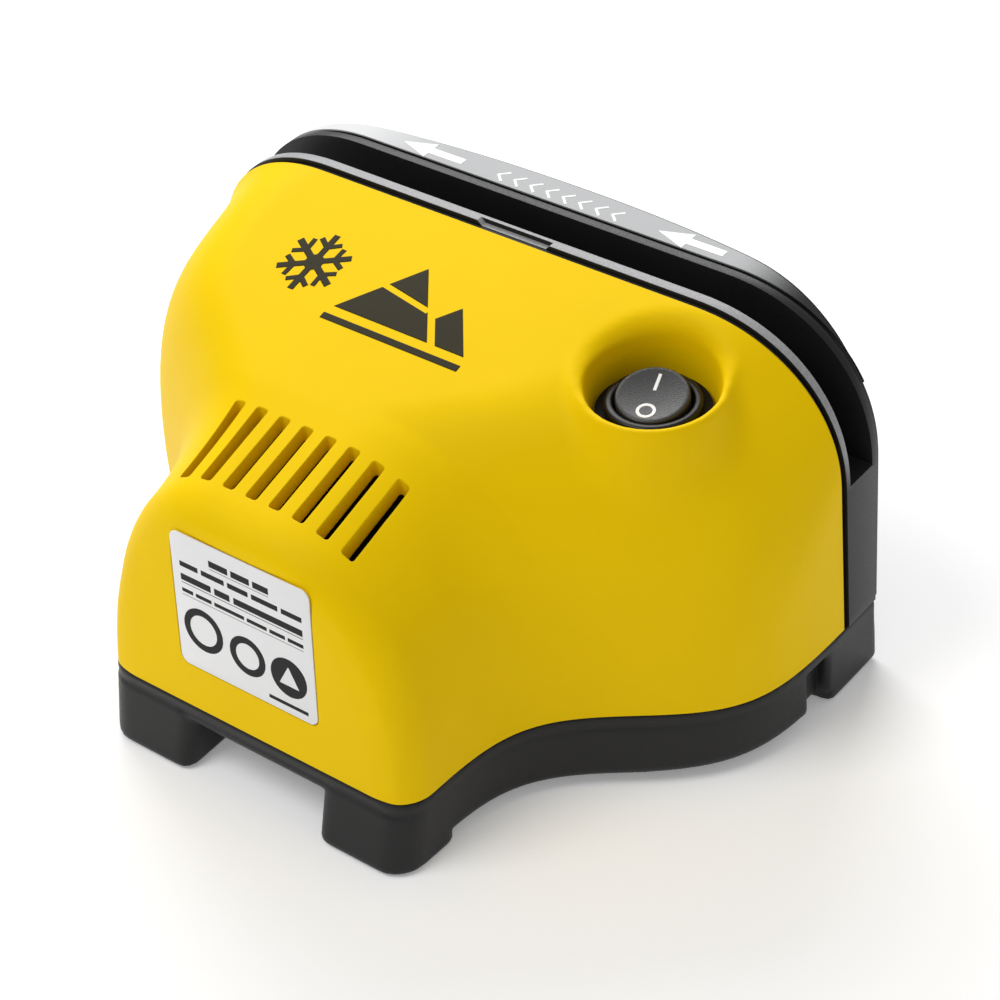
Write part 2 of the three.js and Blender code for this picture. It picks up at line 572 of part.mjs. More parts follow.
function switchBody() {
  const rod = (z0, z1, radius, topRadius) => postZ(SWITCH_X, SWITCH_Y, z0, z1, radius, 32, topRadius);
  const flange = rod(SEAT_Z, SEAT_Z + 2.4, BEZEL_RADIUS, BEZEL_RADIUS - 0.5);
  const barrel = rod(SEAT_Z - 15, SEAT_Z + 0.2, BEZEL_RADIUS - 1.5);
  return cut(join(flange, barrel), rod(POCKET_FLOOR_Z, SEAT_Z + 4, POCKET_RADIUS));
}

const ROCKER_PIVOT_Z = SEAT_Z + 1;

// The rocker is drawn about its own pivot, with +Y towards the "I" mark.
function rockerButton() {
  const profile = [[0, -4.4], [7.6, -4.4], [8.8, -0.6], [8.8, 2.6], [8.3, 3.2], [0, 2.7]];
  const points = profile.map(([radius, z]) => new THREE.Vector2(radius, z));
  return new THREE.LatheGeometry(points, 36).rotateX(Math.PI / 2);
}

const TERMINAL_BOTTOM_Z = SEAT_Z - 23;

function terminal(side) {
  return box(side * 4 - 2.4, side * 4 + 2.4, -0.4, 0.4, TERMINAL_BOTTOM_Z, SEAT_Z - 15.2);
}

// ---------------------------------------------------------------- motor
const CAN_RADIUS = 18.5;
const CAN_WALL = 1.2;
const CAN_REAR_Y = -14;
const CAN_FRONT_Y = 39.4;
const BRACKET_THICKNESS = 2.8;
const BRACKET_Y = FRAME_FRONT_Y - FIT_GAP - BRACKET_THICKNESS;
const MOTOR_SCREWS = [[0, 12.5], [0, -12.5]]; // from the axis, in X and Z
const BEARING_RADIUS = 5;
const BORE = SHAFT_RADIUS + 0.2;

function motorCan() {
  const inner = CAN_RADIUS - CAN_WALL;
  const bearingSeat = BEARING_RADIUS + FIT_GAP;
  const can = turned([
    [bearingSeat, CAN_FRONT_Y], [bearingSeat, CAN_FRONT_Y - 5], [8, CAN_FRONT_Y - 5],
    [8, CAN_FRONT_Y - 1.6], [inner, CAN_FRONT_Y - 1.6], [inner, CAN_REAR_Y],
    [CAN_RADIUS, CAN_REAR_Y], [CAN_RADIUS, CAN_FRONT_Y], [bearingSeat, CAN_FRONT_Y],
  ]);
  const holes = MOTOR_SCREWS.map(
    ([dx, dz]) => rodY(dx, AXIS_Z + dz, CAN_FRONT_Y - 3, CAN_FRONT_Y + 1, 1.8, 12));
  return cut(can, ...holes);
}

function motorEndCap() {
  const inside = CAN_RADIUS - CAN_WALL - FIT_GAP;
  const bearingSeat = BEARING_RADIUS + FIT_GAP;
  return turned([
    [bearingSeat, CAN_REAR_Y - 5], [CAN_RADIUS, CAN_REAR_Y - 5], [CAN_RADIUS, CAN_REAR_Y - FIT_GAP],
    [inside, CAN_REAR_Y - FIT_GAP], [inside, CAN_REAR_Y + 1.5], [9, CAN_REAR_Y + 1.5],
    [9, CAN_REAR_Y - 2], [bearingSeat, CAN_REAR_Y - 2], [bearingSeat, CAN_REAR_Y - 5],
  ]);
}

// A plain tube round the motor axis.
function sleeve(inner, outer, y0, y1, sides) {
  return turned([[inner, y0], [outer, y0], [outer, y1], [inner, y1], [inner, y0]], sides);
}

const bearing = (y0, y1) => sleeve(BORE, BEARING_RADIUS, y0, y1, 24);
const commutator = () => sleeve(BORE, 4.2, -13, -7, 18);

function motorShaft() {
  const [front, rear] = [CAN_REAR_Y - 5.2, SLOT_REAR_Y - 4.4];
  const chamfer = 0.4;
  return turned([
    [0, front], [SHAFT_RADIUS - chamfer, front], [SHAFT_RADIUS, front + chamfer],
    [SHAFT_RADIUS, rear - chamfer], [SHAFT_RADIUS - chamfer, rear], [0, rear],
  ]);
}

const ARMATURE_RADIUS = 11.8;
const ARMATURE_REAR_Y = -2;
const ARMATURE_FRONT_Y = 28;

const polar = (radius, angle) => new THREE.Vector2(radius * Math.cos(angle), radius * Math.sin(angle));

// A laminated core of T-shaped poles: each neck widens to a shoe under the magnets.
function armatureCore() {
  const poles = 5;
  const neckRadius = 9;
  const shoe = Math.PI / poles - 0.12;
  const [root, neck] = [0.3, 0.17];
  const outline = [];
  for (let k = 0; k < poles; k += 1) {
    const middle = (k / poles) * 2 * Math.PI;
    outline.push(polar(5, middle - root), polar(neckRadius, middle - neck), polar(10, middle - shoe));
    outline.push(polar(ARMATURE_RADIUS, middle - shoe), polar(ARMATURE_RADIUS, middle));
    outline.push(polar(ARMATURE_RADIUS, middle + shoe), polar(10, middle + shoe));
    outline.push(polar(neckRadius, middle + neck), polar(5, middle + root));
  }
  const core = new THREE.Shape(outline);
  core.holes.push(new THREE.Path().absarc(0, 0, BORE, 0, 2 * Math.PI, true));
  return slabY(core, ARMATURE_REAR_Y, ARMATURE_FRONT_Y, 6).translate(0, 0, AXIS_Z);
}

function winding(y0, y1) {
  const outline = [[4, y0], [8.5, y0], [10, y0 + 1], [10, y1 - 1], [8.5, y1], [4, y1], [4, y0]];
  return turned(outline, 20);
}

function brush(side) {
  const [x0, x1] = side > 0 ? [4.7, 8.6] : [-8.6, -4.7];
  return box(x0, x1, -12, -8, AXIS_Z - 1.6, AXIS_Z + 1.6);
}

function magnet(side) {
  const [inner, outer, reach] = [12.7, CAN_RADIUS - CAN_WALL - FIT_GAP, 1.15];
  const middle = side > 0 ? 0 : Math.PI;
  const arc = new THREE.Shape();
  arc.absarc(0, 0, outer, middle - reach, middle + reach, false);
  arc.absarc(0, 0, inner, middle + reach, middle - reach, true);
  return slabY(arc, ARMATURE_REAR_Y - 2, ARMATURE_FRONT_Y + 2, 10).translate(0, 0, AXIS_Z);
}

function motorBracket() {
  const plate = roundedRectangle(0, 0, 33, 21, 5);
  const hole = (x, z, radius) => new THREE.Path().absarc(x, z, radius, 0, 2 * Math.PI, true);
  const screwHoles = [...MOTOR_SCREWS, ...BRACKET_SCREWS].map(([x, z]) => hole(x, z, 1.8));
  plate.holes.push(hole(0, 0, 7), ...screwHoles);
  return slabY(plate, BRACKET_Y, BRACKET_Y + BRACKET_THICKNESS, 4).translate(0, 0, AXIS_Z);
}

// A pan-head screw along +Y, with a cross slot: its head ends at y = 0 and its shank runs on to
// y = length.
function screwY(headRadius, headHeight, shankRadius, length) {
  const profile = [
    [0, -headHeight], [headRadius * 0.75, -headHeight], [headRadius, -headHeight * 0.6],
    [headRadius, 0], [shankRadius, 0], [shankRadius, length], [0, length],
  ];
  const screw = new THREE.LatheGeometry(profile.map(([r, y]) => new THREE.Vector2(r, y)), 12);
  const slotReach = headRadius * 0.6;
  const [slotTop, slotBottom] = [-headHeight - 1, -headHeight * 0.55];
  const across = box(-slotReach, slotReach, slotTop, slotBottom, -0.4, 0.4);
  const upright = box(-0.4, 0.4, slotTop, slotBottom, -slotReach, slotReach);
  return cut(screw, across, upright);
}

// ---------------------------------------------------------------- cutter
// Each tooth has a radial face, a relieved back and a gullet, given here as parts of the tooth pitch
// and of the cutter's radius.
const TOOTH = [[0, 0.8], [0, 1], [0.12, 0.985], [0.5, 0.94], [0.86, 0.9], [0.93, 0.8]];

function cutterHead() {
  const [front, rear] = [SLOT_FRONT_Y + 0.6, SLOT_REAR_Y - 0.5];
  const pitch = (2 * Math.PI) / CUTTER_TEETH;
  const outline = [];
  for (let k = 0; k < CUTTER_TEETH; k += 1) {
    TOOTH.forEach(([part, scale]) => outline.push(polar(CUTTER_RADIUS * scale, (k + part) * pitch)));
  }
  const head = new THREE.Shape(outline);
  head.holes.push(new THREE.Path().absarc(0, 0, BORE, 0, 2 * Math.PI, true));
  const body = slabY(head, front, rear, 6).translate(0, 0, AXIS_Z);
  return cut(body, rodY(0, AXIS_Z, rear - 3, rear + 1, 6.4, 24));
}

function cutterScrew() {
  const end = SLOT_REAR_Y - 0.9;
  return turned([[0, end - 2.3], [5.8, end - 2.3], [5.8, end - 0.8], [4.5, end], [0, end]]);
}

// ---------------------------------------------------------------- power socket and leads
const SOCKET_X = -50;
const SOCKET_Z = 33;
const SOCKET_RADIUS = 4;
const SOCKET_FLANGE_RADIUS = 5.6;
const SOCKET_FACE_Y = backDepth(Math.abs(SOCKET_X) - SOCKET_FLANGE_RADIUS) + FIT_GAP;

function powerSocket() {
  const rim = SOCKET_FACE_Y + 1.4;
  const points = [
    [0, 60], [SOCKET_RADIUS, 60], [SOCKET_RADIUS, SOCKET_FACE_Y], [SOCKET_FLANGE_RADIUS, SOCKET_FACE_Y],
    [SOCKET_FLANGE_RADIUS, rim], [2.9, rim], [2.9, 62], [0, 62],
  ];
  const profile = points.map(([r, y]) => new THREE.Vector2(r, y));
  return new THREE.LatheGeometry(profile, 28).translate(SOCKET_X, 0, SOCKET_Z);
}

function socketNut() {
  const ring = new THREE.Shape([0, 1, 2, 3, 4, 5].map((k) => polar(6, (k * Math.PI) / 3)));
  ring.holes.push(new THREE.Path().absarc(0, 0, SOCKET_RADIUS + 0.2, 0, 2 * Math.PI, true));
  return slabY(ring, 60.6, 62.6, 6).translate(SOCKET_X, 0, SOCKET_Z);
}

function lead(points, steps = 18) {
  const path = new THREE.CatmullRomCurve3(points.map((p) => new THREE.Vector3(...p)), false, "centripetal");
  const section = new THREE.Shape().absarc(0, 0, 1.1, 0, 2 * Math.PI, false);
  const options = { steps, extrudePath: path, curveSegments: 4, bevelEnabled: false };
  return new THREE.ExtrudeGeometry(section, options);
}

// ---------------------------------------------------------------- assembly
const group = new THREE.Group();
group.name = "scraper_sharpener";

function place(parent, name, geometry, material, position = [0, 0, 0]) {
  const mesh = new THREE.Mesh(geometry, material);
  mesh.name = name;
  mesh.position.set(...position);
  parent.add(mesh);
  return mesh;
}

place(group, "base_tray", baseTray(), BLACK);
PADS.forEach(([side, pad], i) => place(group, `foot_pad_${i + 1}`, footPad(side, pad), RUBBER));
place(group, "front_shell", frontShell(), YELLOW);
place(group, "rating_plate", ratingPlate(), PLATE);
place(group, "shell_seal", shellSeal(), RUBBER);
place(group, "guide_frame", guideFrame(), BLACK);
place(group, "infeed_plate", guidePlate(1), STEEL);
place(group, "outfeed_plate", guidePlate(-1), STEEL);
place(group, "rear_cover", rearCover(), BLACK);
place(group, "direction_label", directionLabel(), GREY_PRINT);

place(group, "switch_seat", switchSeat(), BLACK);
place(group, "switch_body", switchBody(), BLACK);
const switchGroup = new THREE.Group();
switchGroup.position.set(SWITCH_X, SWITCH_Y, 0);
switchGroup.rotation.z = SWITCH_TURN;
group.add(switchGroup);
const rocker = place(switchGroup, "rocker_button", rockerButton(), BLACK, [0, 0, ROCKER_PIVOT_Z]);
rocker.rotation.x = ROCKER_TILT;
place(switchGroup, "switch_terminal_1", terminal(1), BRASS);
place(switchGroup, "switch_terminal_2", terminal(-1), BRASS);

const motorGroup = new THREE.Group();
motorGroup.position.x = MOTOR_X;
group.add(motorGroup);
const MOTOR_PIECES = [
  ["motor_can", motorCan(), STEEL],
  ["motor_end_cap", motorEndCap(), BLACK],
  ["front_bearing", bearing(CAN_FRONT_Y - 4.6, CAN_FRONT_Y - 0.4), STEEL],
  ["rear_bearing", bearing(CAN_REAR_Y - 4.8, CAN_REAR_Y - 1), STEEL],
  ["motor_shaft", motorShaft(), STEEL],
  ["armature_core", armatureCore(), ZINC],
  ["armature_winding_front", winding(ARMATURE_FRONT_Y + FIT_GAP, ARMATURE_FRONT_Y + 4.3), COPPER],
  ["armature_winding_rear", winding(ARMATURE_REAR_Y - 4.3, ARMATURE_REAR_Y - FIT_GAP), COPPER],
  ["commutator", commutator(), BRASS],
  ["brush_right", brush(1), GRAPHITE],
  ["brush_left", brush(-1), GRAPHITE],
  ["magnet_right", magnet(1), GRAPHITE],
  ["magnet_left", magnet(-1), GRAPHITE],
  ["motor_bracket", motorBracket(), ZINC],
  ["cutter_head", cutterHead(), STEEL],
  ["cutter_screw", cutterScrew(), ZINC],
];
MOTOR_PIECES.forEach(([name, geometry, material]) => place(motorGroup, name, geometry, material));

// The two motor screws are driven from the slot side, the bracket screws from the motor side.
MOTOR_SCREWS.forEach(([dx, dz], i) => {
  const screw = place(motorGroup, `motor_screw_${i + 1}`, screwY(2.8, 1.9, 1.4, 6), ZINC);
  screw.position.set(dx, BRACKET_Y + BRACKET_THICKNESS + 0.2, AXIS_Z + dz);
  screw.rotation.z = Math.PI;
});
BRACKET_SCREWS.forEach(([dx, dz], i) => {
  const screw = place(motorGroup, `bracket_screw_${i + 1}`, screwY(2.8, 1.9, 1.4, 6), ZINC);
  screw.position.set(dx, BRACKET_Y - 0.2, AXIS_Z + dz);
});
CASE_POSTS.forEach(([x, y], i) => {
  const screw = place(group, `case_screw_${i + 1}`, screwY(3, 2, 1.4, 18), ZINC);
  screw.position.set(x, y, 13.8);
  screw.rotation.x = Math.PI / 2;
});
COVER_SCREWS.forEach(([x, z], i) => {
  const screw = place(group, `cover_screw_${i + 1}`, screwY(3, 2, 1.4, 10), ZINC);
  screw.position.set(x, COVER_FRONT_Y + 2.6, z);
  screw.rotation.z = Math.PI;
});

const LEAD_END_Z = TERMINAL_BOTTOM_Z - 1.2;
place(group, "power_socket", powerSocket(), BLACK);
place(group, "socket_nut", socketNut(), BRASS);
place(group, "supply_lead", lead([
  [-52, 59.5, 33], [-52, 40, 33], [-50, 30, 18], [-30, 22, 12], [20, 20, 12], [56, 22, 20],
  [64, 22, 48], [62.6, 22.8, LEAD_END_Z],
]), RED_WIRE);
place(group, "switch_lead", lead([
  [54.4, 20.2, LEAD_END_Z], [50, 10, 52], [36, -6, 42], [22, -24, 38], [8, -28, 46], [6, -19.4, 50],
]), RED_WIRE);
place(group, "return_lead", lead([
  [-9, -19.4, 34], [-10, -28, 30], [-28, -24, 16], [-46, 8, 14], [-48, 34, 24], [-48, 42, 33],
  [-48, 59.5, 33],
]), BLACK_WIRE);

export default group;
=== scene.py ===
"""Looks of the bench-top scraper sharpener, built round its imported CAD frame.

Lengths in the shape code are millimetres in the CAD frame: X along the slot, +Y the back, +Z up.
"""
import math

import bmesh
import bpy
import numpy as np
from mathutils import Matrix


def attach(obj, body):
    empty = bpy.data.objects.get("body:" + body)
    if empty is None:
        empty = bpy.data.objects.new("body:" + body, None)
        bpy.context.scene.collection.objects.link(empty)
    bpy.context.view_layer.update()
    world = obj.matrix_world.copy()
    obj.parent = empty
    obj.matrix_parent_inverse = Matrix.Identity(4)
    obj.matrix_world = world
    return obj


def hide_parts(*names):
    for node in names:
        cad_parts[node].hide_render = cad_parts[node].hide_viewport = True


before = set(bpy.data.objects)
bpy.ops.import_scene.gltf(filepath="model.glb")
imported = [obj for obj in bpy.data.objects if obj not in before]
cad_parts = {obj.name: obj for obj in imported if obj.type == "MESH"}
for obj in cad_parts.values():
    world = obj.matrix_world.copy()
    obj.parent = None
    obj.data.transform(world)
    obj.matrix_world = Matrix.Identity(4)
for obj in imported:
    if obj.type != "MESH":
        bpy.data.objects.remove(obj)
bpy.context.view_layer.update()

import openvdb
from mathutils import Matrix, Vector

MM = 0.001

# ------------------------------------------------------------------ driving dimensions
# They are the CAD's, but the left bulge and shoulder, the draft, the legs and the pad pockets follow
# the photo closer than the CAD does.
HALF_WIDTH = 96.5
REAR_Y = 69.0
TOP_Z = 104.0
PARTING_Z = 20.0
GROUND_GAP = 3.0
FIT_GAP = 0.3
SHELL_FRONT_Y = -64.0
SHELL_LEAN = 0.09
SEAM_Y = 41.6
SEAM_LEAN = 0.03
SHELL_WALL = 2.6
BULGE_HALF_WIDTH = 46.0
LEFT_BULGE_EXTRA = 2.0
BULGE_DRAFT = 0.068
DRAFT_TOP_Z = 47.0
MOTOR_X = -1.5
FRONT_EDGE_RADIUS = 9.0
FRONT_EDGE_DROP = 5.5
CROWN_SLOPE = 0.233
SHELL_TOP_Z = TOP_Z - 0.8
FLARE_LENGTH = 8.9
FLARE_MIDDLE_Y = -8.2
LEFT_FLARE_FORWARD = 4.1
ARCH_RADIUS = 41.0
ARCH_POWER = 2.2
END_WALL = 5.0
FLOOR_THICKNESS = 3.2
CUTTER_OPENING_HALF = 14.5
GUIDE_PLATE_LENGTH = 34.0
GUIDE_PLATE_MARGIN = 1.3
GUIDE_PLATE_GAP = 0.15
FRAME_FRONT_Y = 43.2
SLOT_FRONT_Y = 45.8
SLOT_REAR_Y = 55.6
SLOT_FLOOR_Z = 63.8
FRAME_REAR_Y = 57.8
COVER_FRONT_Y = 58.2
COVER_INSET = 0.8
SWITCH_X = 58.5
SWITCH_Y = 21.5
SWITCH_TURN = math.radians(17)
SEAT_Z = 87.8
SEAT_RADIUS = 14.8
SEAT_DEPTH = 2.6
LIP_Z = 95.0
WELL_TAPER = 0.18
WELL_DRIFT = (0.09, -0.107)  # how the well leans in X and Y, per millimetre of height
COLLAR_WALL = 1.4
WELL_WALL = 2.0
BEZEL_RADIUS = 11.5
POCKET_RADIUS = 9.4
SWITCH_DEPTH = 15.0
ROCKER_PIVOT_Z = SEAT_Z + 1.0
ROCKER_TILT = math.radians(11)
PLATE_WIDTH = 43.0
PLATE_HEIGHT = 39.0
PLATE_MIDDLE_Z = 52.6
LABEL_THICKNESS = 0.4
LABEL_BOTTOM_Z = 84.0
SOCKET_X = -50.0
SOCKET_Z = 33.0
SOCKET_RADIUS = 4.0
SOCKET_FLANGE_RADIUS = 5.6
COVER_SCREWS = [(70, 30), (-70, 30), (70, 54), (-70, 54)]  # X and Z
CASE_SCREWS = [(MOTOR_X + 40.5, -46), (MOTOR_X - 40.5, -46), (87, 33), (-87, 33)]  # X and Y


# ------------------------------------------------------------------ mesh helpers
def new_object(name, mesh, material, body="housing"):
    """Links a finished mesh and lets it ride on a CAD body."""
    mesh.name = name
    mesh.materials.append(material)
    piece = bpy.data.objects.new(name, mesh)
    bpy.context.scene.collection.objects.link(piece)
    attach(piece, body)
    return piece


def settle(node):
    """Hides the CAD node that a finished piece stands for."""
    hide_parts(node)


def face_out(build):
    bmesh.ops.recalc_face_normals(build, faces=build.faces)
    if build.calc_volume(signed=True) < 0:
        bmesh.ops.reverse_faces(build, faces=build.faces)


def mesh_from(points, faces, smooth=True):
    """A mesh from millimetre points, with its faces turned outwards."""
    mesh = bpy.data.meshes.new("piece")
    mesh.from_pydata([tuple(MM * c for c in p) for p in points], [], faces)
    build = bmesh.new()
    build.from_mesh(mesh)
    bmesh.ops.remove_doubles(build, verts=build.verts, dist=1e-7)
    face_out(build)
    build.to_mesh(mesh)
    build.free()
    mesh.polygons.foreach_set("use_smooth", [smooth] * len(mesh.polygons))
    return mesh


def apply_modifiers(piece):
    """Bakes a piece's modifiers into its mesh."""
    graph = bpy.context.evaluated_depsgraph_get()
    baked = bpy.data.meshes.new_from_object(piece.evaluated_get(graph), depsgraph=graph)
    piece.modifiers.clear()
    piece.data = baked


def cut_with(piece, tools, operation="DIFFERENCE"):
    """Joins or cuts a piece with throwaway meshes."""
    for number, tool in enumerate(tools):
        helper = bpy.data.objects.new(f"helper_{number}", tool)
        bpy.context.scene.collection.objects.link(helper)
        step = piece.modifiers.new("cut", "BOOLEAN")
        step.operation = operation
        step.solver = "MANIFOLD"
        step.object = helper
        bpy.context.view_layer.update()
        apply_modifiers(piece)
        bpy.data.objects.remove(helper)


def soften(piece, width, segments=3, angle=32):
    """Rounds the sharp edges, then shades smoothly across everything but the remaining creases."""
    bevel = piece.modifiers.new("bevel", "BEVEL")
    bevel.width = width * MM
    bevel.segments = segments
    bevel.limit_method = "ANGLE"
    bevel.angle_limit = math.radians(angle)
    bevel.use_clamp_overlap = True
    apply_modifiers(piece)
    shade(piece)


def shade(piece, angle=35):
    """Smooth shading that keeps edges sharper than the angle."""
    piece.data.polygons.foreach_set("use_smooth", [True] * len(piece.data.polygons))
    build = bmesh.new()
    build.from_mesh(piece.data)
    for edge in build.edges:
        edge.smooth = len(edge.link_faces) == 2 and edge.calc_face_angle(0) < math.radians(angle)
    build.to_mesh(piece.data)
    build.free()


def box_mesh(x0, x1, y0, y1, z0, z1):
    corners = [(x, y, z) for x in (x0, x1) for y in (y0, y1) for z in (z0, z1)]
    faces = [(0, 1, 3, 2), (4, 6, 7, 5), (0, 4, 5, 1), (2, 3, 7, 6), (0, 2, 6, 4), (1, 5, 7, 3)]
    return mesh_from(corners, faces, smooth=False)


def turned_mesh(profile, sides, place):
    """Turns (radius, height) points round an axis; place maps (a, b, height) into the frame."""
    points = []
    for radius, height in profile:
        for k in range(sides):
            angle = 2 * math.pi * k / sides
            points.append(place(radius * math.cos(angle), radius * math.sin(angle), height))
    faces = []
    for row in range(len(profile) - 1):
        for k in range(sides):
            a, b = row * sides + k, row * sides + (k + 1) % sides
            faces.append((a, b, b + sides, a + sides))
    if profile[0][0] > 0 and profile[0] != profile[-1]:
        faces.append(tuple(range(sides))[::-1])
        faces.append(tuple(range((len(profile) - 1) * sides, len(profile) * sides)))
    return mesh_from(points, faces)


def rounded_rectangle(half_width, half_height, radius, steps=6):
    """Outline of a rounded rectangle centred on the origin, anticlockwise."""
    outline = []
    for quarter, (sx, sy) in enumerate([(1, 1), (-1, 1), (-1, -1), (1, -1)]):
        for k in range(steps + 1):
            angle = math.pi / 2 * (quarter + k / steps)
            outline.append((sx * (half_width - radius) + radius * math.cos(angle),
                            sy * (half_height - radius) + radius * math.sin(angle)))
    return outline


def prism_mesh(outline, place, low, high):
    """A flat slab with the given outline; place maps (a, b, depth) into the frame."""
    count = len(outline)
    points = [place(a, b, low) for a, b in outline] + [place(a, b, high) for a, b in outline]
    faces = [tuple(range(count)), tuple(range(2 * count - 1, count - 1, -1))]
    for k in range(count):
        after = (k + 1) % count
        faces.append((k, after, after + count, k + count))
    return mesh_from(points, faces, smooth=False)


def lean_back(mesh):
    """Slants a mesh so that it follows the leaning joint between the shell and the frame."""
    for vertex in mesh.vertices:
        vertex.co.y += SEAM_LEAN * (TOP_Z * MM - vertex.co.z)
    return mesh


# ------------------------------------------------------------------ smooth fields
def smooth_max(a, b, blend):
    """The larger of two fields, rounded over where they are within `blend` of each other."""
    overlap = np.maximum(blend - np.abs(a - b), 0) / blend
    return np.maximum(a, b) + overlap * overlap * blend * 0.25


def smooth_min(a, b, blend):
    return -smooth_max(-a, -b, blend)


def as_distance(field, step):
    """Scales a field so that it changes by about one per millimetre."""
    gx, gy, gz = np.gradient(field, step)
    slope = np.sqrt(gx * gx + gy * gy + gz * gz)
    return field / np.maximum(slope, 0.35)


def field_grid(low, high, step):
    axes = [np.arange(a, b + step, step, dtype=np.float32) for a, b in zip(low, high)]
    return np.meshgrid(*axes, indexing="ij")


def field_mesh(field, low, step):
    """Quads on the zero level of a field sampled on a regular grid; negative is inside."""
    grid = openvdb.FloatGrid(background=10.0)
    grid.copyFromArray(field.astype(np.float32))
    points, quads = grid.convertToQuads(isovalue=0.0)
    points = (points * step + np.array(low)) * MM
    mesh = bpy.data.meshes.new("piece")
    mesh.from_pydata(points.tolist(), [], quads.tolist())
    build = bmesh.new()
    build.from_mesh(mesh)
    face_out(build)
    build.to_mesh(mesh)
    build.free()
    mesh.polygons.foreach_set("use_smooth", [True] * len(mesh.polygons))
    return mesh


# ------------------------------------------------------------------ thin printed shapes
def bar(a, b, low, high):
    """Field of an upright rectangle between two corners; negative is inside."""
    (a0, b0), (a1, b1) = low, high
    return np.maximum(np.abs(a - (a0 + a1) / 2) - (a1 - a0) / 2, np.abs(b - (b0 + b1) / 2) - (b1 - b0) / 2)


def stroke(a, b, start, end, width):
    """Field of a square-ended line."""
    (a0, b0), (a1, b1) = start, end
    length = math.hypot(a1 - a0, b1 - b0)
    along_a, along_b = (a1 - a0) / length, (b1 - b0) / length
    along = (a - a0) * along_a + (b - b0) * along_b
    across = (b - b0) * along_a - (a - a0) * along_b
    return np.maximum(np.abs(along - length / 2) - length / 2, np.abs(across) - width / 2)


def ring(a, b, centre, radius, width):
    return np.abs(np.hypot(a - centre[0], b - centre[1]) - radius) - width / 2


def disc(a, b, centre, radius):
    return np.hypot(a - centre[0], b - centre[1]) - radius


def convex(a, b, corners):
    """Field of a convex outline whose corners run anticlockwise."""
    field = np.full_like(a, -50.0)
    for (a0, b0), (a1, b1) in zip(corners, corners[1:] + corners[:1]):
        length = math.hypot(a1 - a0, b1 - b0)
        field = np.maximum(field, ((a - a0) * (b1 - b0) - (b - b0) * (a1 - a0)) / length)
    return field


def union(fields):
    joined = fields[0]
    for field in fields[1:]:
        joined = np.minimum(joined, field)
    return joined


PRINT_HALF_THICKNESS = 0.12


def print_mesh(shape, low, high, step, place):
    """A flat shape given as a field over (a, b), made into a film and laid on a surface by place."""
    layers = 3 * step
    a, b, depth = field_grid((*low, -layers), (*high, layers), step)
    field = np.maximum(shape(a, b), np.abs(depth) - PRINT_HALF_THICKNESS)
    mesh = field_mesh(field, (*low, -layers), step)
    flat = np.empty(len(mesh.vertices) * 3)
    mesh.vertices.foreach_get("co", flat)
    flat = flat.reshape(-1, 3) / MM
    placed = np.stack(place(flat[:, 0], flat[:, 1], flat[:, 2]), axis=1)
    mesh.vertices.foreach_set("co", (placed * MM).ravel())
    mesh.polygons.foreach_set("use_smooth", [False] * len(mesh.polygons))
    return mesh


# ------------------------------------------------------------------ front shell
SEAM_SHOULDER = 40.0  # both radii of the shell's shoulders at the seam
LEFT_ACROSS, RIGHT_ACROSS = 36.0, 58.0  # their radii across at the middle
LEFT_DOWN, RIGHT_DOWN = 64.0, 68.0  # and down
LEFT_FALL, RIGHT_FALL = 4.0, 20.0  # how much smaller the radius down gets towards the front


def bulge_half_width(side, z):
    """Half-width of the motor bulge, which widens towards the parting line."""
    draft = BULGE_DRAFT * np.maximum(DRAFT_TOP_Z - z, 0)
    return BULGE_HALF_WIDTH + side * MOTOR_X + np.where(side < 0, LEFT_BULGE_EXTRA, 0.0) + draft


def front_edge(station):
    """1 at the bulge's front face, 0 where its edge rounding ends."""
    cosine = np.clip(1 - (station - SHELL_FRONT_Y) / FRONT_EDGE_RADIUS, 0, 1)
    return 1 - np.sqrt(1 - cosine * cosine)


def unleaned(y, z):
    """The station a point belongs to, once the front's lean is taken out."""
    rise = SHELL_LEAN * (z - PARTING_Z)
    front = y - rise
    middle = (y + rise * 20 / 35) / (1 - rise / 35)
    return np.where(front < -55, front, np.where(middle < -20, middle, y))


def housing_field(x, y, z):
    """Negative inside the housing: an arch in cross-section, widening from the bulge to the wings."""
    station = unleaned(y, z)
    side = np.where(x > 0, 1.0, -1.0)
    bulge = bulge_half_width(side, z)
    middle = FLARE_MIDDLE_Y - np.where(side < 0, LEFT_FLARE_FORWARD, 0)
    edge = front_edge(station)
    flare = 1 + np.exp(np.clip((middle - station) / FLARE_LENGTH, -30, 30))
    half_width = bulge + (HALF_WIDTH - 0.3 - bulge) / flare - FRONT_EDGE_RADIUS * edge
    top = SHELL_TOP_Z - CROWN_SLOPE * (SEAM_Y - station) - FRONT_EDGE_DROP * edge
    behind = np.clip(station / SEAM_Y, 0, 1.2)
    ahead = np.clip(-station / 40, 0, 1)
    blend = behind ** np.where(side < 0, 4, 2)
    own_x = np.where(side < 0, LEFT_ACROSS, RIGHT_ACROSS)
    own_z = np.where(side < 0, LEFT_DOWN, RIGHT_DOWN)
    fall = np.where(side < 0, LEFT_FALL, RIGHT_FALL)
    radius_x = np.minimum(half_width * 0.97, own_x + (SEAM_SHOULDER - own_x) * blend)
    radius_z = np.minimum(top - PARTING_Z - 1, own_z + (SEAM_SHOULDER - own_z) * blend - fall * ahead)
    across = np.maximum(1 - (half_width - side * x) / radius_x, 0)
    upward = np.maximum(1 - (top - z) / radius_z, 0)
    corner = (across ** ARCH_POWER + upward ** ARCH_POWER) ** (1 / ARCH_POWER) - 1
    return corner * radius_z, SHELL_FRONT_Y - station


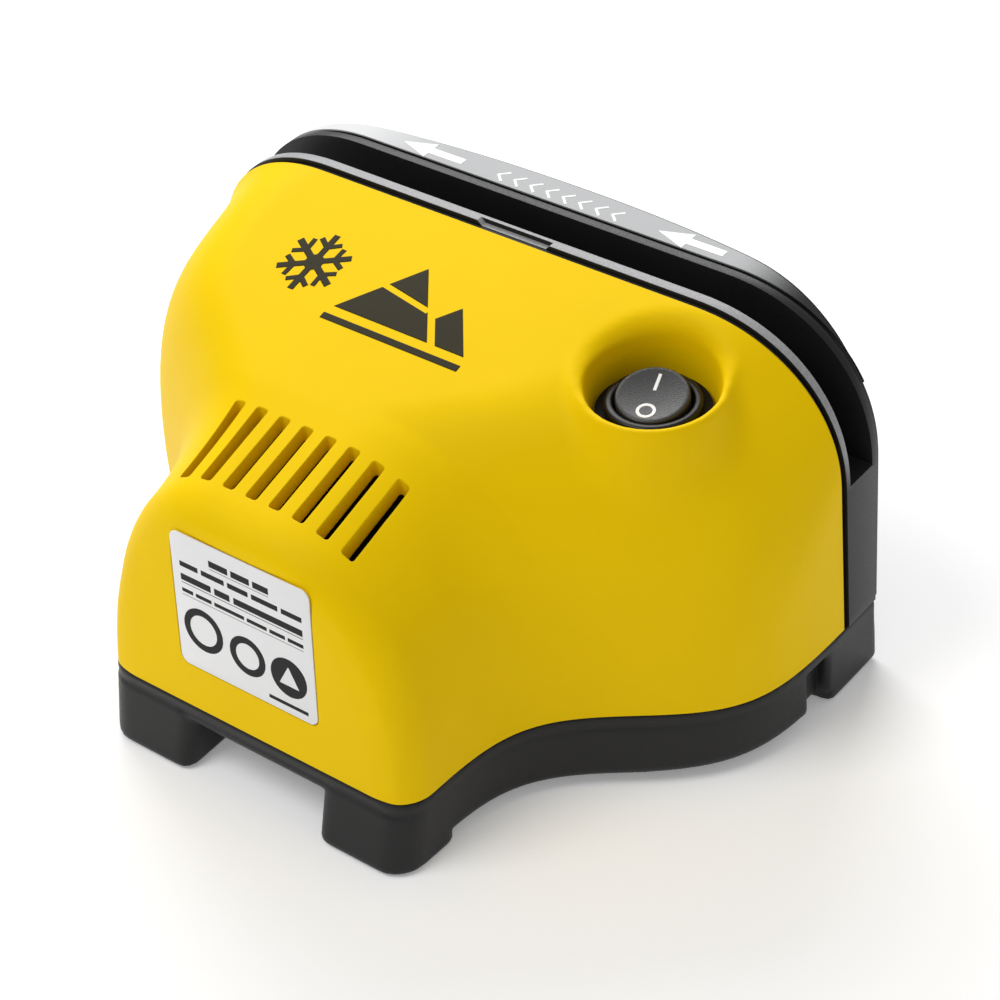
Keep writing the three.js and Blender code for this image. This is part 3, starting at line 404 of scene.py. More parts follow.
def crown_height(x, y):
    """Height of the housing's top surface over points in plan, found by halving."""
    low = np.full_like(x, 40.0)
    high = np.full_like(x, TOP_Z + 2)
    for _ in range(24):
        middle = (low + high) / 2
        corner, front = housing_field(x, y, middle)
        inside = np.maximum(corner, front) < 0
        low = np.where(inside, middle, low)
        high = np.where(inside, high, middle)
    return low


VENT_COUNT = 8
VENT_PITCH = 7.06
VENT_WIDTH = 3.4
VENT_MIDDLE_X = -2.0
VENT_FRONT_Y = -48.6
VENT_REAR_Y = -26.6
VENT_DEPTH = 4.0  # the wall is thicker between the vents


def vent_cutters():
    """Upright slots with squared, slightly rounded ends."""
    outline = rounded_rectangle(VENT_WIDTH / 2, (VENT_REAR_Y - VENT_FRONT_Y) / 2, 0.8, steps=4)
    middle_y = (VENT_FRONT_Y + VENT_REAR_Y) / 2
    cutters = []
    for k in range(VENT_COUNT):
        centre = VENT_MIDDLE_X + (k - (VENT_COUNT - 1) / 2) * VENT_PITCH
        cutters.append(prism_mesh(outline, lambda a, b, h: (centre + a, middle_y + b, h), 60, TOP_Z))
    return cutters


COLLAR_REACH = 34.0  # how far down the collar runs into the housing
COLLAR_SPREAD = 8.0  # how much wider it is there
COLLAR_LEAN = (-9.0, 5.0)  # and how far it has moved back into the housing, in X and Y
RIB_HALF_LENGTH = 29.0  # the thicker wall round the vents, along X
RIB_HALF_DEPTH = 14.0  # and along Y


def well_fields(x, y, z):
    """Fields of the tapering switch well and of the collar round it; negative is inside."""
    drift_x, drift_y = WELL_DRIFT
    rise = z - SEAT_Z
    well = np.hypot(x - SWITCH_X - drift_x * rise, y - SWITCH_Y - drift_y * rise) - SEAT_RADIUS
    well = well - WELL_TAPER * rise
    drop = np.clip((LIP_Z - z) / COLLAR_REACH, 0, 1)
    lip_rise = LIP_Z - SEAT_Z
    collar_x = SWITCH_X + drift_x * lip_rise + COLLAR_LEAN[0] * drop ** 2
    collar_y = SWITCH_Y + drift_y * lip_rise + COLLAR_LEAN[1] * drop ** 2
    collar_radius = SEAT_RADIUS + WELL_TAPER * lip_rise + COLLAR_WALL
    collar = np.hypot(x - collar_x, y - collar_y) - collar_radius - COLLAR_SPREAD * drop
    return well, smooth_max(collar, z - LIP_Z, 1.2)


def shell_mesh():
    """The housing with its switch collar and well, a little too long at the back and the bottom."""
    step = 0.85
    low, high = (-99.0, -67.0, 16.0), (99.0, 48.5, 106.0)
    x, y, z = field_grid(low, high, step)
    corner, front = housing_field(x, y, z)
    housing = smooth_max(as_distance(corner, step), as_distance(front, step), 1.5)
    well, collar = well_fields(x, y, z)
    outside = smooth_min(housing, collar, 4.5)
    vent_middle_y = (VENT_FRONT_Y + VENT_REAR_Y) / 2
    ribs = np.maximum(
        np.abs(x - VENT_MIDDLE_X) - RIB_HALF_LENGTH, np.abs(y - vent_middle_y) - RIB_HALF_DEPTH)
    wall = SHELL_WALL + (VENT_DEPTH - SHELL_WALL) * np.clip(1 - ribs / 3, 0, 1)
    well_wall = np.maximum(well - WELL_WALL, SEAT_Z - 5 - z)
    hollow = np.maximum(housing + wall, -well_wall)
    rim_rounding = np.clip((z - LIP_Z + 1) * 1.2, 0.9, 4.5)
    welled = smooth_max(outside, -np.maximum(well, SEAT_Z - SEAT_DEPTH - z), rim_rounding)
    shell = np.maximum(welled, -hollow)
    ledge_hole = np.hypot(x - SWITCH_X, y - SWITCH_Y) - SEAT_RADIUS + 2.5
    shell = np.maximum(shell, -np.maximum(ledge_hole, SEAT_Z - 10 - z))
    ends = np.maximum(y - SEAM_Y - 5.4, PARTING_Z - 2.5 - z)  # both are trimmed exactly later on
    shell = np.maximum(shell, ends)
    return field_mesh(shell, low, step)


# ------------------------------------------------------------------ arches: frame, cover, seal and label
def arch_height(x, inset):
    """Top of the round-shouldered outline over x, moved in by inset."""
    half_width = HALF_WIDTH - inset
    radius = ARCH_RADIUS - inset
    across = max(0.0, 1 - (half_width - abs(x)) / radius)
    return TOP_Z - inset - radius * (1 - max(0.0, 1 - across ** ARCH_POWER) ** (1 / ARCH_POWER))


def arch_columns(inset, steps):
    """X positions that follow the outline evenly round both shoulders."""
    half_width = HALF_WIDTH - inset
    radius = ARCH_RADIUS - inset
    columns = []
    for k in range(steps + 1):
        angle = math.pi / 2 * k / steps
        columns.append(half_width - radius * (1 - max(0, math.cos(angle)) ** (2 / ARCH_POWER)))
    middle = [columns[-1] * (1 - 2 * k / 24) for k in range(1, 24)]
    return columns + middle + [-x for x in reversed(columns)]


def arch_block(inset, bottom, front, back, steps=28, rows=14):
    """A solid between two surfaces y = front(x) and y = back(x), under the arch outline."""
    columns = [x for x in arch_columns(inset, steps) if arch_height(x, inset) > bottom + 0.2]
    points = []
    for x in columns:
        top = arch_height(x, inset)
        for k in range(rows + 1):
            z = bottom + (top - bottom) * k / rows
            points.append((x, front(x), z))
            points.append((x, back(x), z))
    faces = []
    stride = 2 * (rows + 1)
    for c in range(len(columns) - 1):
        for k in range(rows):
            a = c * stride + 2 * k
            faces.append((a, a + 2, a + stride + 2, a + stride))
            faces.append((a + 1, a + stride + 1, a + stride + 3, a + 3))
        for a in (c * stride, c * stride + 2 * rows):
            faces.append((a, a + stride, a + stride + 1, a + 1))
    for first in (0, (len(columns) - 1) * stride):
        for k in range(rows):
            a = first + 2 * k
            faces.append((a, a + 1, a + 3, a + 2))
    return mesh_from(points, faces)


def back_depth(x, inset=0.0):
    """Plan of the back: deepest in the middle, tapering towards both ends."""
    u = min(1.0, abs(x) / HALF_WIDTH)
    depth = COVER_FRONT_Y + (REAR_Y - COVER_FRONT_Y) * (1 - u ** 2.25) ** 1.1
    return depth - inset


def level(y):
    return lambda x: y


# ------------------------------------------------------------------ base tray
def housing_half_width(y, side):
    """Half-width of the housing at the parting line."""
    bulge = bulge_half_width(side, PARTING_Z)
    middle = FLARE_MIDDLE_Y - (LEFT_FLARE_FORWARD if side < 0 else 0)
    return bulge + (HALF_WIDTH - 0.3 - bulge) / (1 + math.exp((middle - y) / FLARE_LENGTH))


def tray_outline():
    """Plan of the tray: rounded front corners, S-curved flanks and the bowed back."""
    def flank(side):
        half = bulge_half_width(side, PARTING_Z)
        points = []
        for k in range(8):
            angle = math.pi / 2 * k / 8
            points.append((half - 8 * (1 - math.sin(angle)), SHELL_FRONT_Y + 8 * (1 - math.cos(angle))))
        points += [(housing_half_width(y, side), y) for y in np.linspace(-50, 45, 40)]
        return [(side * x, y) for x, y in points]

    rear = []
    for k in range(33):
        x = (HALF_WIDTH - 0.3) * math.cos(math.pi * k / 32)
        rear.append((x, back_depth(x)))
    return flank(1) + rear + flank(-1)[::-1]


def outline_distance(x, y, outline):
    """Distance to a closed outline; negative is inside."""
    nearest = np.full_like(x, 1e6)
    inside = np.zeros(x.shape, dtype=bool)
    for (x0, y0), (x1, y1) in zip(outline, outline[1:] + outline[:1]):
        run_x, run_y = x1 - x0, y1 - y0
        part = np.clip(((x - x0) * run_x + (y - y0) * run_y) / (run_x ** 2 + run_y ** 2), 0, 1)
        nearest = np.minimum(nearest, np.hypot(x - x0 - part * run_x, y - y0 - part * run_y))
        if y0 != y1:
            crosses = ((y0 > y) != (y1 > y)) & (x < x0 + (y - y0) * run_x / run_y)
            inside ^= crosses
    return np.where(inside, -nearest, nearest)


TRAY_TOP_Z = PARTING_Z - FIT_GAP
TRAY_RIM_Z = TRAY_TOP_Z - 4.0  # the band above this hardly flares
TRAY_WALL = 2.6
LEG_BOTTOM_Z = 0.4
SIDE_FLARE = 0.3  # outwards, from the rim to the legs
RIM_SPREAD = 0.6  # forwards, just under the rim
FRONT_FLARE = 4.7  # forwards, at the legs
LEFT_TAPER = 0.03  # how much narrower the left side is at the legs, as a part of its width
FRONT_LEG_REAR_Y = -49.5
REAR_LEG = (75.5, 37.0)  # its inner side and its front
NOTCH_HALF, NOTCH_REAR_Y, NOTCH_TOP_Z = 20.5, -53.0, 13.0  # between the front legs
RECESS_X, RECESS_Y, RECESS_HALF, RECESS_TOP_Z = 92.6, 33.0, 4.0, 16.0  # ahead of each rear leg
PAD_HEIGHT = 1.6
PADS = [(33, -60, 8.5, 5.5), (84.5, 48.5, 6.5, 8.0)]  # X, Y, half-width, half-depth; on both sides
POST_RADIUS, SINK_RADIUS, HOLE_RADIUS, SINK_TOP_Z = 5.4, 3.6, 1.9, 14.0  # round the case screws


def tray_plan_field(x, y, z):
    """Distance to the tray's outline, which flares towards the legs; negative is inside."""
    flat_x, flat_y = x[:, :, 0], y[:, :, 0]
    plan = np.empty_like(x)
    outline = tray_outline()
    for layer in range(x.shape[2]):
        height = z[0, 0, layer]
        part = min(1.0, max(0.0, (TRAY_RIM_Z - height) / (TRAY_RIM_Z - LEG_BOTTOM_Z)))
        spread = RIM_SPREAD + (FRONT_FLARE - RIM_SPREAD) * part if height < TRAY_RIM_Z else 0.0
        forward = spread * np.clip((30 - flat_y) / 40, 0, 1)
        narrowed = np.where(flat_x < 0, flat_x / (1 - LEFT_TAPER * part), flat_x)
        distance = outline_distance(narrowed, flat_y + forward, outline)
        plan[:, :, layer] = distance - SIDE_FLARE * part
    return plan


def tray_mesh():
    """The tray with its front legs and notch, rear legs and recesses, and its hollow inside."""
    step = 0.8
    low, high = (-100.0, -72.0, -2.0), (100.0, 72.0, 22.0)
    x, y, z = field_grid(low, high, step)
    plan = tray_plan_field(x, y, z)
    rear_leg_x, rear_leg_y = REAR_LEG
    legs = np.minimum(y - FRONT_LEG_REAR_Y, np.maximum(rear_leg_x - np.abs(x), rear_leg_y - y))
    notch = np.maximum(np.abs(x - MOTOR_X) - NOTCH_HALF, y - NOTCH_REAR_Y)
    notch = np.maximum(notch, z - NOTCH_TOP_Z)
    recess = np.maximum(RECESS_X - np.abs(x), np.abs(y - RECESS_Y) - RECESS_HALF)
    recess = np.maximum(recess, z - RECESS_TOP_Z)
    tray = smooth_max(plan, z - TRAY_TOP_Z, 0.8)
    tray = smooth_max(tray, -np.maximum(z - GROUND_GAP, -legs), 3.0)
    tray = smooth_max(tray, -notch, 4.5)
    tray = smooth_max(tray, -recess, 1.5)
    tray = smooth_max(tray, LEG_BOTTOM_Z - z, 1.6)
    hollow = np.maximum(plan + TRAY_WALL + 0.2, GROUND_GAP + 2.5 - z)
    hollow = np.maximum(hollow, -(notch - TRAY_WALL))
    hollow = np.maximum(hollow, -(recess - TRAY_WALL))
    for post_x, post_y in CASE_SCREWS:
        hollow = np.maximum(hollow, POST_RADIUS - np.hypot(x - post_x, y - post_y))
    return field_mesh(np.maximum(tray, -hollow), low, step)


# ------------------------------------------------------------------ materials
def shader(name):
    material = bpy.data.materials.new(name)
    material.use_nodes = True
    return material, material.node_tree, material.node_tree.nodes["Principled BSDF"]


def add_node(tree, kind, values=None, links=None, **settings):
    """A shader node with its settings, its inputs' values and the sockets linked to its inputs."""
    node = tree.nodes.new(kind)
    for setting, value in settings.items():
        setattr(node, setting, value)
    for socket, value in (values or {}).items():
        node.inputs[socket].default_value = value
    for socket, source in (links or {}).items():
        tree.links.new(source, node.inputs[socket])
    return node


def noise(tree, scale, detail=3.0, roughness=0.55):
    """3-D noise in object coordinates, with scale in features per metre."""
    place = add_node(tree, "ShaderNodeTexCoord")
    values = {"Scale": scale, "Detail": detail, "Roughness": roughness}
    links = {"Vector": place.outputs["Object"]}
    return add_node(tree, "ShaderNodeTexNoise", values, links).outputs["Fac"]


def remap(tree, value, low, high):
    """Spreads a 0.3 to 0.7 noise value over low to high."""
    values = {"From Min": 0.3, "From Max": 0.7, "To Min": low, "To Max": high}
    return add_node(tree, "ShaderNodeMapRange", values, {"Value": value}).outputs["Result"]


def smooth_ramp(tree, value, start, end):
    """0 before start, 1 beyond end, with a smooth step between."""
    values = {"From Min": start, "From Max": end}
    ramp = add_node(tree, "ShaderNodeMapRange", values, {"Value": value}, interpolation_type="SMOOTHSTEP")
    return ramp.outputs["Result"]


def mixed_color(tree, factor, a, b):
    mix = add_node(tree, "ShaderNodeMix", data_type="RGBA")
    mix.inputs["A"].default_value = (*a, 1)
    mix.inputs["B"].default_value = (*b, 1)
    tree.links.new(factor, mix.inputs["Factor"])
    return mix.outputs["Result"]


def blend_color(tree, factor, color, under):
    """Lays a plain colour over a colour socket by a factor."""
    mix = add_node(tree, "ShaderNodeMix", data_type="RGBA")
    mix.inputs["B"].default_value = (*color, 1)
    tree.links.new(factor, mix.inputs["Factor"])
    tree.links.new(under, mix.inputs["A"])
    return mix.outputs["Result"]


def add_bump(tree, principled, height, strength, distance, edge_radius=0.0):
    """Fine relief; with an edge radius, sharp edges also catch the light as if rounded."""
    values = {"Strength": strength, "Distance": distance}
    bump = add_node(tree, "ShaderNodeBump", values, {"Height": height})
    if edge_radius:
        bevel = add_node(tree, "ShaderNodeBevel", {"Radius": edge_radius}, samples=6)
        tree.links.new(bevel.outputs["Normal"], bump.inputs["Normal"])
    tree.links.new(bump.outputs["Normal"], principled.inputs["Normal"])


def edge_highlight_amount(tree, radius):
    """Near 1 on convex edges, from the difference between the flat and the rounded normal; it masks the
    painted edge highlight.
    """
    bevel = add_node(tree, "ShaderNodeBevel", {"Radius": radius}, samples=4)
    geometry = add_node(tree, "ShaderNodeNewGeometry")
    normals = {0: bevel.outputs["Normal"], 1: geometry.outputs["Normal"]}
    dot = add_node(tree, "ShaderNodeVectorMath", links=normals, operation="DOT_PRODUCT")
    spread = add_node(tree, "ShaderNodeMapRange", {"From Min": 0.97, "From Max": 0.75},
                      {"Value": dot.outputs["Value"]})
    return spread.outputs["Result"]


# Width of the painted highlight along convex edges.
EDGE_HIGHLIGHT_WIDTH = 0.6 * MM


def plastic(name, color, roughness, grain=4500, grain_height=0.03, mottle=0.08, edge_highlight=None, gloss=0.5,
            edge=0.0):
    """Moulded plastic: fine spark-eroded grain, slightly uneven colour and gloss, and optionally a painted
    highlight on convex edges.
    """
    material, tree, principled = shader(name)
    principled.inputs["Specular IOR Level"].default_value = gloss
    broad = noise(tree, 45, detail=4)
    fine = noise(tree, grain, detail=2)
    darker = tuple(c * (1 - mottle) for c in color)
    base = mixed_color(tree, remap(tree, broad, 0, 1), darker, color)
    # Painted highlight: convex edges are lightened as if catching the light.
    if edge_highlight:
        base = blend_color(tree, edge_highlight_amount(tree, EDGE_HIGHLIGHT_WIDTH), edge_highlight, base)
    tree.links.new(base, principled.inputs["Base Color"])
    uneven_gloss = remap(tree, fine, roughness - 0.05, roughness + 0.07)
    tree.links.new(uneven_gloss, principled.inputs["Roughness"])
    add_bump(tree, principled, fine, 0.35, grain_height * MM, edge_radius=edge * MM)
    return material


def metal(name, color, roughness, streak=900, stretch=(1, 1, 0.05)):
    """Machined metal: fine drawn streaks in colour, gloss and relief."""
    material, tree, principled = shader(name)
    principled.inputs["Metallic"].default_value = 1
    place = add_node(tree, "ShaderNodeTexCoord")
    mapping = add_node(tree, "ShaderNodeMapping", {"Scale": stretch}, {"Vector": place.outputs["Object"]})
    texture = add_node(tree, "ShaderNodeTexNoise", {"Scale": streak, "Detail": 3},
                       {"Vector": mapping.outputs["Vector"]})
    streaks = texture.outputs["Fac"]
    darker = tuple(c * 0.75 for c in color)
    tree.links.new(mixed_color(tree, remap(tree, streaks, 0, 1), darker, color),
                   principled.inputs["Base Color"])
    uneven_gloss = remap(tree, streaks, roughness - 0.08, roughness + 0.12)
    tree.links.new(uneven_gloss, principled.inputs["Roughness"])
    add_bump(tree, principled, streaks, 0.2, 0.01 * MM)
    return material


YELLOW = plastic("yellow_plastic", (0.92, 0.61, 0.0), 0.5, grain=3800, mottle=0.03, gloss=0.06, edge=0.5)
# BLACK gets lighter convex edges, a painted highlight.
BLACK = plastic("black_plastic", (0.011, 0.011, 0.0115), 0.42, gloss=0.32, grain=2600, grain_height=0.05,
                mottle=0.2, edge_highlight=(0.035, 0.035, 0.036))
SWITCH_BLACK = plastic("switch_plastic", (0.007, 0.007, 0.0075), 0.35, grain=5000, mottle=0.15, gloss=0.3)
ROCKER_BLACK = plastic("rocker_plastic", (0.03, 0.03, 0.031), 0.36, grain=2400, grain_height=0.12,
                       mottle=0.3, gloss=0.55)
SEAT_BLACK = plastic("seat_plastic", (0.006, 0.006, 0.006), 0.6, grain=3000, mottle=0.2, gloss=0.15)
RUBBER = plastic("rubber", (0.012, 0.012, 0.012), 0.75, grain=2000, mottle=0.3)
PAPER = plastic("rating_film", (0.86, 0.86, 0.865), 0.42, grain=5200, grain_height=0.01, mottle=0.04)
WHITE_INK = plastic("white_ink", (0.93, 0.93, 0.93), 0.45, grain=5200, grain_height=0.01, mottle=0.02)
DARK_INK = plastic("dark_ink", (0.03, 0.024, 0.008), 0.5, grain=5200, grain_height=0.01, mottle=0.1,
                   gloss=0.1)
BLACK_INK = plastic("black_ink", (0.015, 0.015, 0.016), 0.5, grain=5200, grain_height=0.01, mottle=0.1,
                    gloss=0.15)
STEEL = metal("ground_steel", (0.6, 0.61, 0.62), 0.3)
CAN_STEEL = metal("plated_steel", (0.5, 0.51, 0.52), 0.35, streak=400)
ZINC = metal("zinc_plate", (0.55, 0.56, 0.58), 0.38, streak=600, stretch=(1, 1, 1))
BRASS = metal("brass", (0.6, 0.42, 0.16), 0.32, streak=500, stretch=(1, 1, 1))
COPPER = metal("enamelled_copper", (0.6, 0.2, 0.07), 0.35, streak=1500, stretch=(1, 0.1, 1))
GRAPHITE = plastic("graphite", (0.03, 0.03, 0.032), 0.6, grain=3000, mottle=0.3)
RED_WIRE = plastic("red_insulation", (0.35, 0.02, 0.015), 0.4, grain=3000)
BLACK_WIRE = plastic("black_insulation", (0.015, 0.015, 0.015), 0.4, grain=3000)


# The film's grey is print; its paler left end and its fade to black round the right shoulder are painted
# sheen.
FILM_SHEEN_FADE = (53, 75)  # X where the film turns from grey to black
FILM_SHEEN_PALE = (-30, -75)  # and from grey to a paler grey


def grey_film_painted_sheen():
    """The direction label's film: printed grey, with painted sheen that makes it paler on the left and
    fades it to black round the right shoulder.
    """
    material, tree, principled = shader("grey_film_painted_sheen")
    place = add_node(tree, "ShaderNodeTexCoord")
    split = add_node(tree, "ShaderNodeSeparateXYZ", links={"Vector": place.outputs["Object"]})
    # Painted sheen: the grey fades to black round the right shoulder and turns paler towards the left end.
    black, pale = [smooth_ramp(tree, split.outputs["X"], start * MM, end * MM)
                   for start, end in (FILM_SHEEN_FADE, FILM_SHEEN_PALE)]
    grey = mixed_color(tree, pale, (0.33, 0.335, 0.34), (0.66, 0.665, 0.67))
    base = blend_color(tree, black, (0.011, 0.011, 0.0115), grey)
    tree.links.new(base, principled.inputs["Base Color"])
    fine = noise(tree, 4000, detail=2)
    tree.links.new(remap(tree, fine, 0.4, 0.5), principled.inputs["Roughness"])
    add_bump(tree, principled, fine, 0.3, 0.02 * MM)
    return material


def painted_sheen_black():
    """The frame's plastic, with a painted grey sheen round the outer edge of the slot's front wall,
    standing in for the light its top reflects there.
    """
    material = BLACK.copy()
    material.name = "black_plastic_painted_sheen"
    tree = material.node_tree
    principled = tree.nodes["Principled BSDF"]
    black = principled.inputs["Base Color"].links[0].from_socket
    place = add_node(tree, "ShaderNodeTexCoord")
    position = add_node(tree, "ShaderNodeSeparateXYZ", links={"Vector": place.outputs["Object"]})
    geometry = add_node(tree, "ShaderNodeNewGeometry")
    facing = add_node(tree, "ShaderNodeSeparateXYZ", links={"Vector": geometry.outputs["Normal"]})
    steepness = add_node(tree, "ShaderNodeMath", links={0: facing.outputs["Y"]}, operation="ABSOLUTE")

    def multiply(a, b):
        product = add_node(tree, "ShaderNodeMath", links={0: a, 1: b}, operation="MULTIPLY")
        return product.outputs["Value"]

    outward = smooth_ramp(tree, steepness.outputs["Value"], 0.75, 0.3)
    slot_side, front_side = (SLOT_FRONT_Y + 1.4) * MM, (SLOT_FRONT_Y + 0.9) * MM
    front_wall = smooth_ramp(tree, position.outputs["Y"], slot_side, front_side)
    low, high = (SLOT_FLOOR_Z - 2) * MM, (SLOT_FLOOR_Z + 12) * MM
    above_floor = smooth_ramp(tree, position.outputs["Z"], low, high)
    grain = remap(tree, noise(tree, 1500, detail=3), 0.75, 1.0)
    # Painted sheen: grey laid on the outer faces of the slot's front wall, above the floor.
    mask = multiply(multiply(outward, front_wall), multiply(above_floor, grain))
    with_painted_sheen = blend_color(tree, mask, (0.36, 0.36, 0.37), black)
    tree.links.new(with_painted_sheen, principled.inputs["Base Color"])
    return material


GREY_FILM_PAINTED_SHEEN = grey_film_painted_sheen()
PAINTED_SHEEN_BLACK = painted_sheen_black()
CAD_FINISH = [
    (YELLOW, ["front_shell"]),
    (BLACK, ["base_tray", "guide_frame", "rear_cover", "switch_seat", "motor_end_cap"]),
    (SWITCH_BLACK, ["switch_body", "rocker_button", "power_socket"]),
    (BLACK_WIRE, ["return_lead"]),
    (RED_WIRE, ["supply_lead", "switch_lead"]),
    (RUBBER, ["foot_pad", "shell_seal"]),
    (PAPER, ["rating_plate"]),
    (GREY_FILM_PAINTED_SHEEN, ["direction_label"]),
    (STEEL, ["infeed_plate", "outfeed_plate", "front_bearing", "rear_bearing"]),
    (STEEL, ["motor_shaft", "cutter_head"]),
    (CAN_STEEL, ["motor_can", "armature_core"]),
    (ZINC, ["motor_bracket", "cutter_screw", "motor_screw", "bracket_screw", "case_screw", "cover_screw"]),
    (BRASS, ["switch_terminal", "commutator", "socket_nut"]),
    (COPPER, ["armature_winding"]),
    (GRAPHITE, ["brush", "magnet"]),
]


def finish_cad_nodes():
    """Gives every carried-over CAD node its material, by the beginning of its name."""
    for name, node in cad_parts.items():
        material = next(m for m, starts in CAD_FINISH if name.startswith(tuple(starts)))
        node.data.materials.clear()
        node.data.materials.append(material)


# ------------------------------------------------------------------ pieces
def build_front_shell():
    shell = new_object("front_shell_skin", shell_mesh(), YELLOW)
    recess = rounded_rectangle(PLATE_WIDTH / 2 + 0.3, PLATE_HEIGHT / 2 + 0.3, 2.8, steps=8)
    cutters = vent_cutters()
    cutters.append(lean_back(box_mesh(-120, 120, SEAM_Y, 80, -60, 160)))
    cutters.append(box_mesh(-120, 120, -120, 120, 0, PARTING_Z))
    cutters.append(prism_mesh(recess, on_plate, -0.6, 4))
    cut_with(shell, cutters)
    shade(shell, 50)
    settle("front_shell")


def build_base_tray():
    piece = new_object("base_tray_body", tray_mesh(), BLACK)
    cutters = [box_mesh(MOTOR_X - 16, MOTOR_X + 16, SLOT_FRONT_Y, SLOT_REAR_Y, 0, 12)]
    cutters += [post_mesh(x, y, 0, SINK_TOP_Z, SINK_RADIUS) for x, y in CASE_SCREWS]
    cutters += [post_mesh(x, y, 0, PARTING_Z + 1, HOLE_RADIUS) for x, y in CASE_SCREWS]
    for x, y, half_width, half_depth in PADS:
        pocket = rounded_rectangle(half_width + FIT_GAP, half_depth + FIT_GAP, 3 + FIT_GAP)
        for side in (1, -1):
            cutters.append(prism_mesh(pocket, lambda a, b, h: (side * x + a, y + b, h),
                                      -FIT_GAP, PAD_HEIGHT + FIT_GAP))
    cut_with(piece, cutters)
    shade(piece, 50)
    settle("base_tray")


def post_mesh(x, y, low, high, radius, sides=40):
    """An upright cylinder."""
    return turned_mesh([(radius, low), (radius, high)], sides, lambda a, b, h: (x + a, y + b, h))


def rod_mesh(x, z, low, high, radius, sides=40):
    """A cylinder along Y."""
    return turned_mesh([(radius, low), (radius, high)], sides, lambda a, b, h: (x + a, h, z + b))


def build_guide_frame():
    rim = lean_back(arch_block(0.0, PARTING_Z, level(FRAME_FRONT_Y),
                               level(FRAME_REAR_Y + 9)))
    # The frame's black carries a painted sheen along the slot's front wall.
    piece = new_object("guide_frame_body", rim, PAINTED_SHEEN_BLACK)
    inside = HALF_WIDTH - END_WALL
    ceiling = SLOT_FLOOR_Z - FLOOR_THICKNESS
    left, right = MOTOR_X - CUTTER_OPENING_HALF, MOTOR_X + CUTTER_OPENING_HALF
    step = [(-9.5, TOP_Z + 1), (-7.2, TOP_Z - 1.3), (12.2, TOP_Z - 1.3), (14.5, TOP_Z + 1)]
    cut_with(piece, [box_mesh(-110, 110, FRAME_REAR_Y, REAR_Y + 20, 0, TOP_Z + 5)])
    cutters = [
        box_mesh(-110, 110, SLOT_FRONT_Y, SLOT_REAR_Y, SLOT_FLOOR_Z, TOP_Z + 5),
        box_mesh(-inside, inside, SLOT_FRONT_Y, SLOT_REAR_Y, PARTING_Z - 5, ceiling),
        box_mesh(left, right, SLOT_FRONT_Y, SLOT_REAR_Y, ceiling - 4.8, SLOT_FLOOR_Z + 1),
        prism_mesh(step, lambda a, b, depth: (a, depth, b), FRAME_FRONT_Y - 1, FRAME_FRONT_Y + 1.6),
    ]
    margin = GUIDE_PLATE_MARGIN - GUIDE_PLATE_GAP
    for side in (1, -1):
        inner = CUTTER_OPENING_HALF - 1
        outer = CUTTER_OPENING_HALF + GUIDE_PLATE_LENGTH + GUIDE_PLATE_GAP
        ends = sorted([MOTOR_X + side * inner, MOTOR_X + side * outer])
        cutters.append(box_mesh(*ends, SLOT_FRONT_Y + margin, SLOT_REAR_Y - margin,
                                SLOT_FLOOR_Z - 1 - GUIDE_PLATE_GAP, SLOT_FLOOR_Z + 0.2))
    inner_wall = arch_block(END_WALL, PARTING_Z, level(FRAME_FRONT_Y), level(FRAME_REAR_Y - 1))
    cut_with(piece, [inner_wall], "UNION")
    cut_with(piece, cutters)
    soften(piece, 0.55, segments=3)
    settle("guide_frame")


def build_rear_cover():
    block = arch_block(COVER_INSET, PARTING_Z, level(COVER_FRONT_Y),
                       lambda x: max(back_depth(x), COVER_FRONT_Y + 1.4))
    piece = new_object("rear_cover_body", block, BLACK)
    soften(piece, 0.8, segments=4)
    holes = [rod_mesh(x, z, COVER_FRONT_Y + 0.6, REAR_Y + 2, 3.5) for x, z in COVER_SCREWS]
    holes.append(rod_mesh(SOCKET_X, SOCKET_Z, COVER_FRONT_Y - 1, REAR_Y + 2, SOCKET_RADIUS + FIT_GAP))
    cut_with(piece, holes)
    shade(piece)
    settle("rear_cover")


def build_direction_label():
    front = COVER_FRONT_Y + 0.9

    def back(x):
        return max(back_depth(x, 1.2), front + 0.25)

    outer = arch_block(0.0, LABEL_BOTTOM_Z, level(front), back, steps=40, rows=4)
    piece = new_object("direction_film", outer, GREY_FILM_PAINTED_SHEEN)
    inner = arch_block(LABEL_THICKNESS, PARTING_Z, level(COVER_FRONT_Y - 2), level(REAR_Y + 3),
                       steps=40, rows=4)
    cut_with(piece, [inner])
    shade(piece)
    settle("direction_label")


def build_seal():
    outer = arch_block(1.3, PARTING_Z + 0.5, level(SEAM_Y + FIT_GAP),
                       level(FRAME_FRONT_Y - FIT_GAP), rows=6)
    piece = new_object("shell_seal_body", lean_back(outer), RUBBER)
    inner = arch_block(4.5, PARTING_Z - 5, level(SEAM_Y - 2), level(FRAME_FRONT_Y + 4), rows=6)
    cut_with(piece, [lean_back(inner)])
    shade(piece)
    settle("shell_seal")


# ------------------------------------------------------------------ switch
def in_switch(a, b, height):
    """From the switch's own plan, with +b towards its I mark, into the frame."""
    cosine, sine = math.cos(SWITCH_TURN), math.sin(SWITCH_TURN)
    return SWITCH_X + a * cosine - b * sine, SWITCH_Y + a * sine + b * cosine, height


def on_rocker(a, b, height):
    """From the rocker's own tilted plan, with heights from its pivot, into the frame."""
    cosine, sine = math.cos(ROCKER_TILT), math.sin(ROCKER_TILT)
    return in_switch(a, b * cosine - height * sine, ROCKER_PIVOT_Z + b * sine + height * cosine)


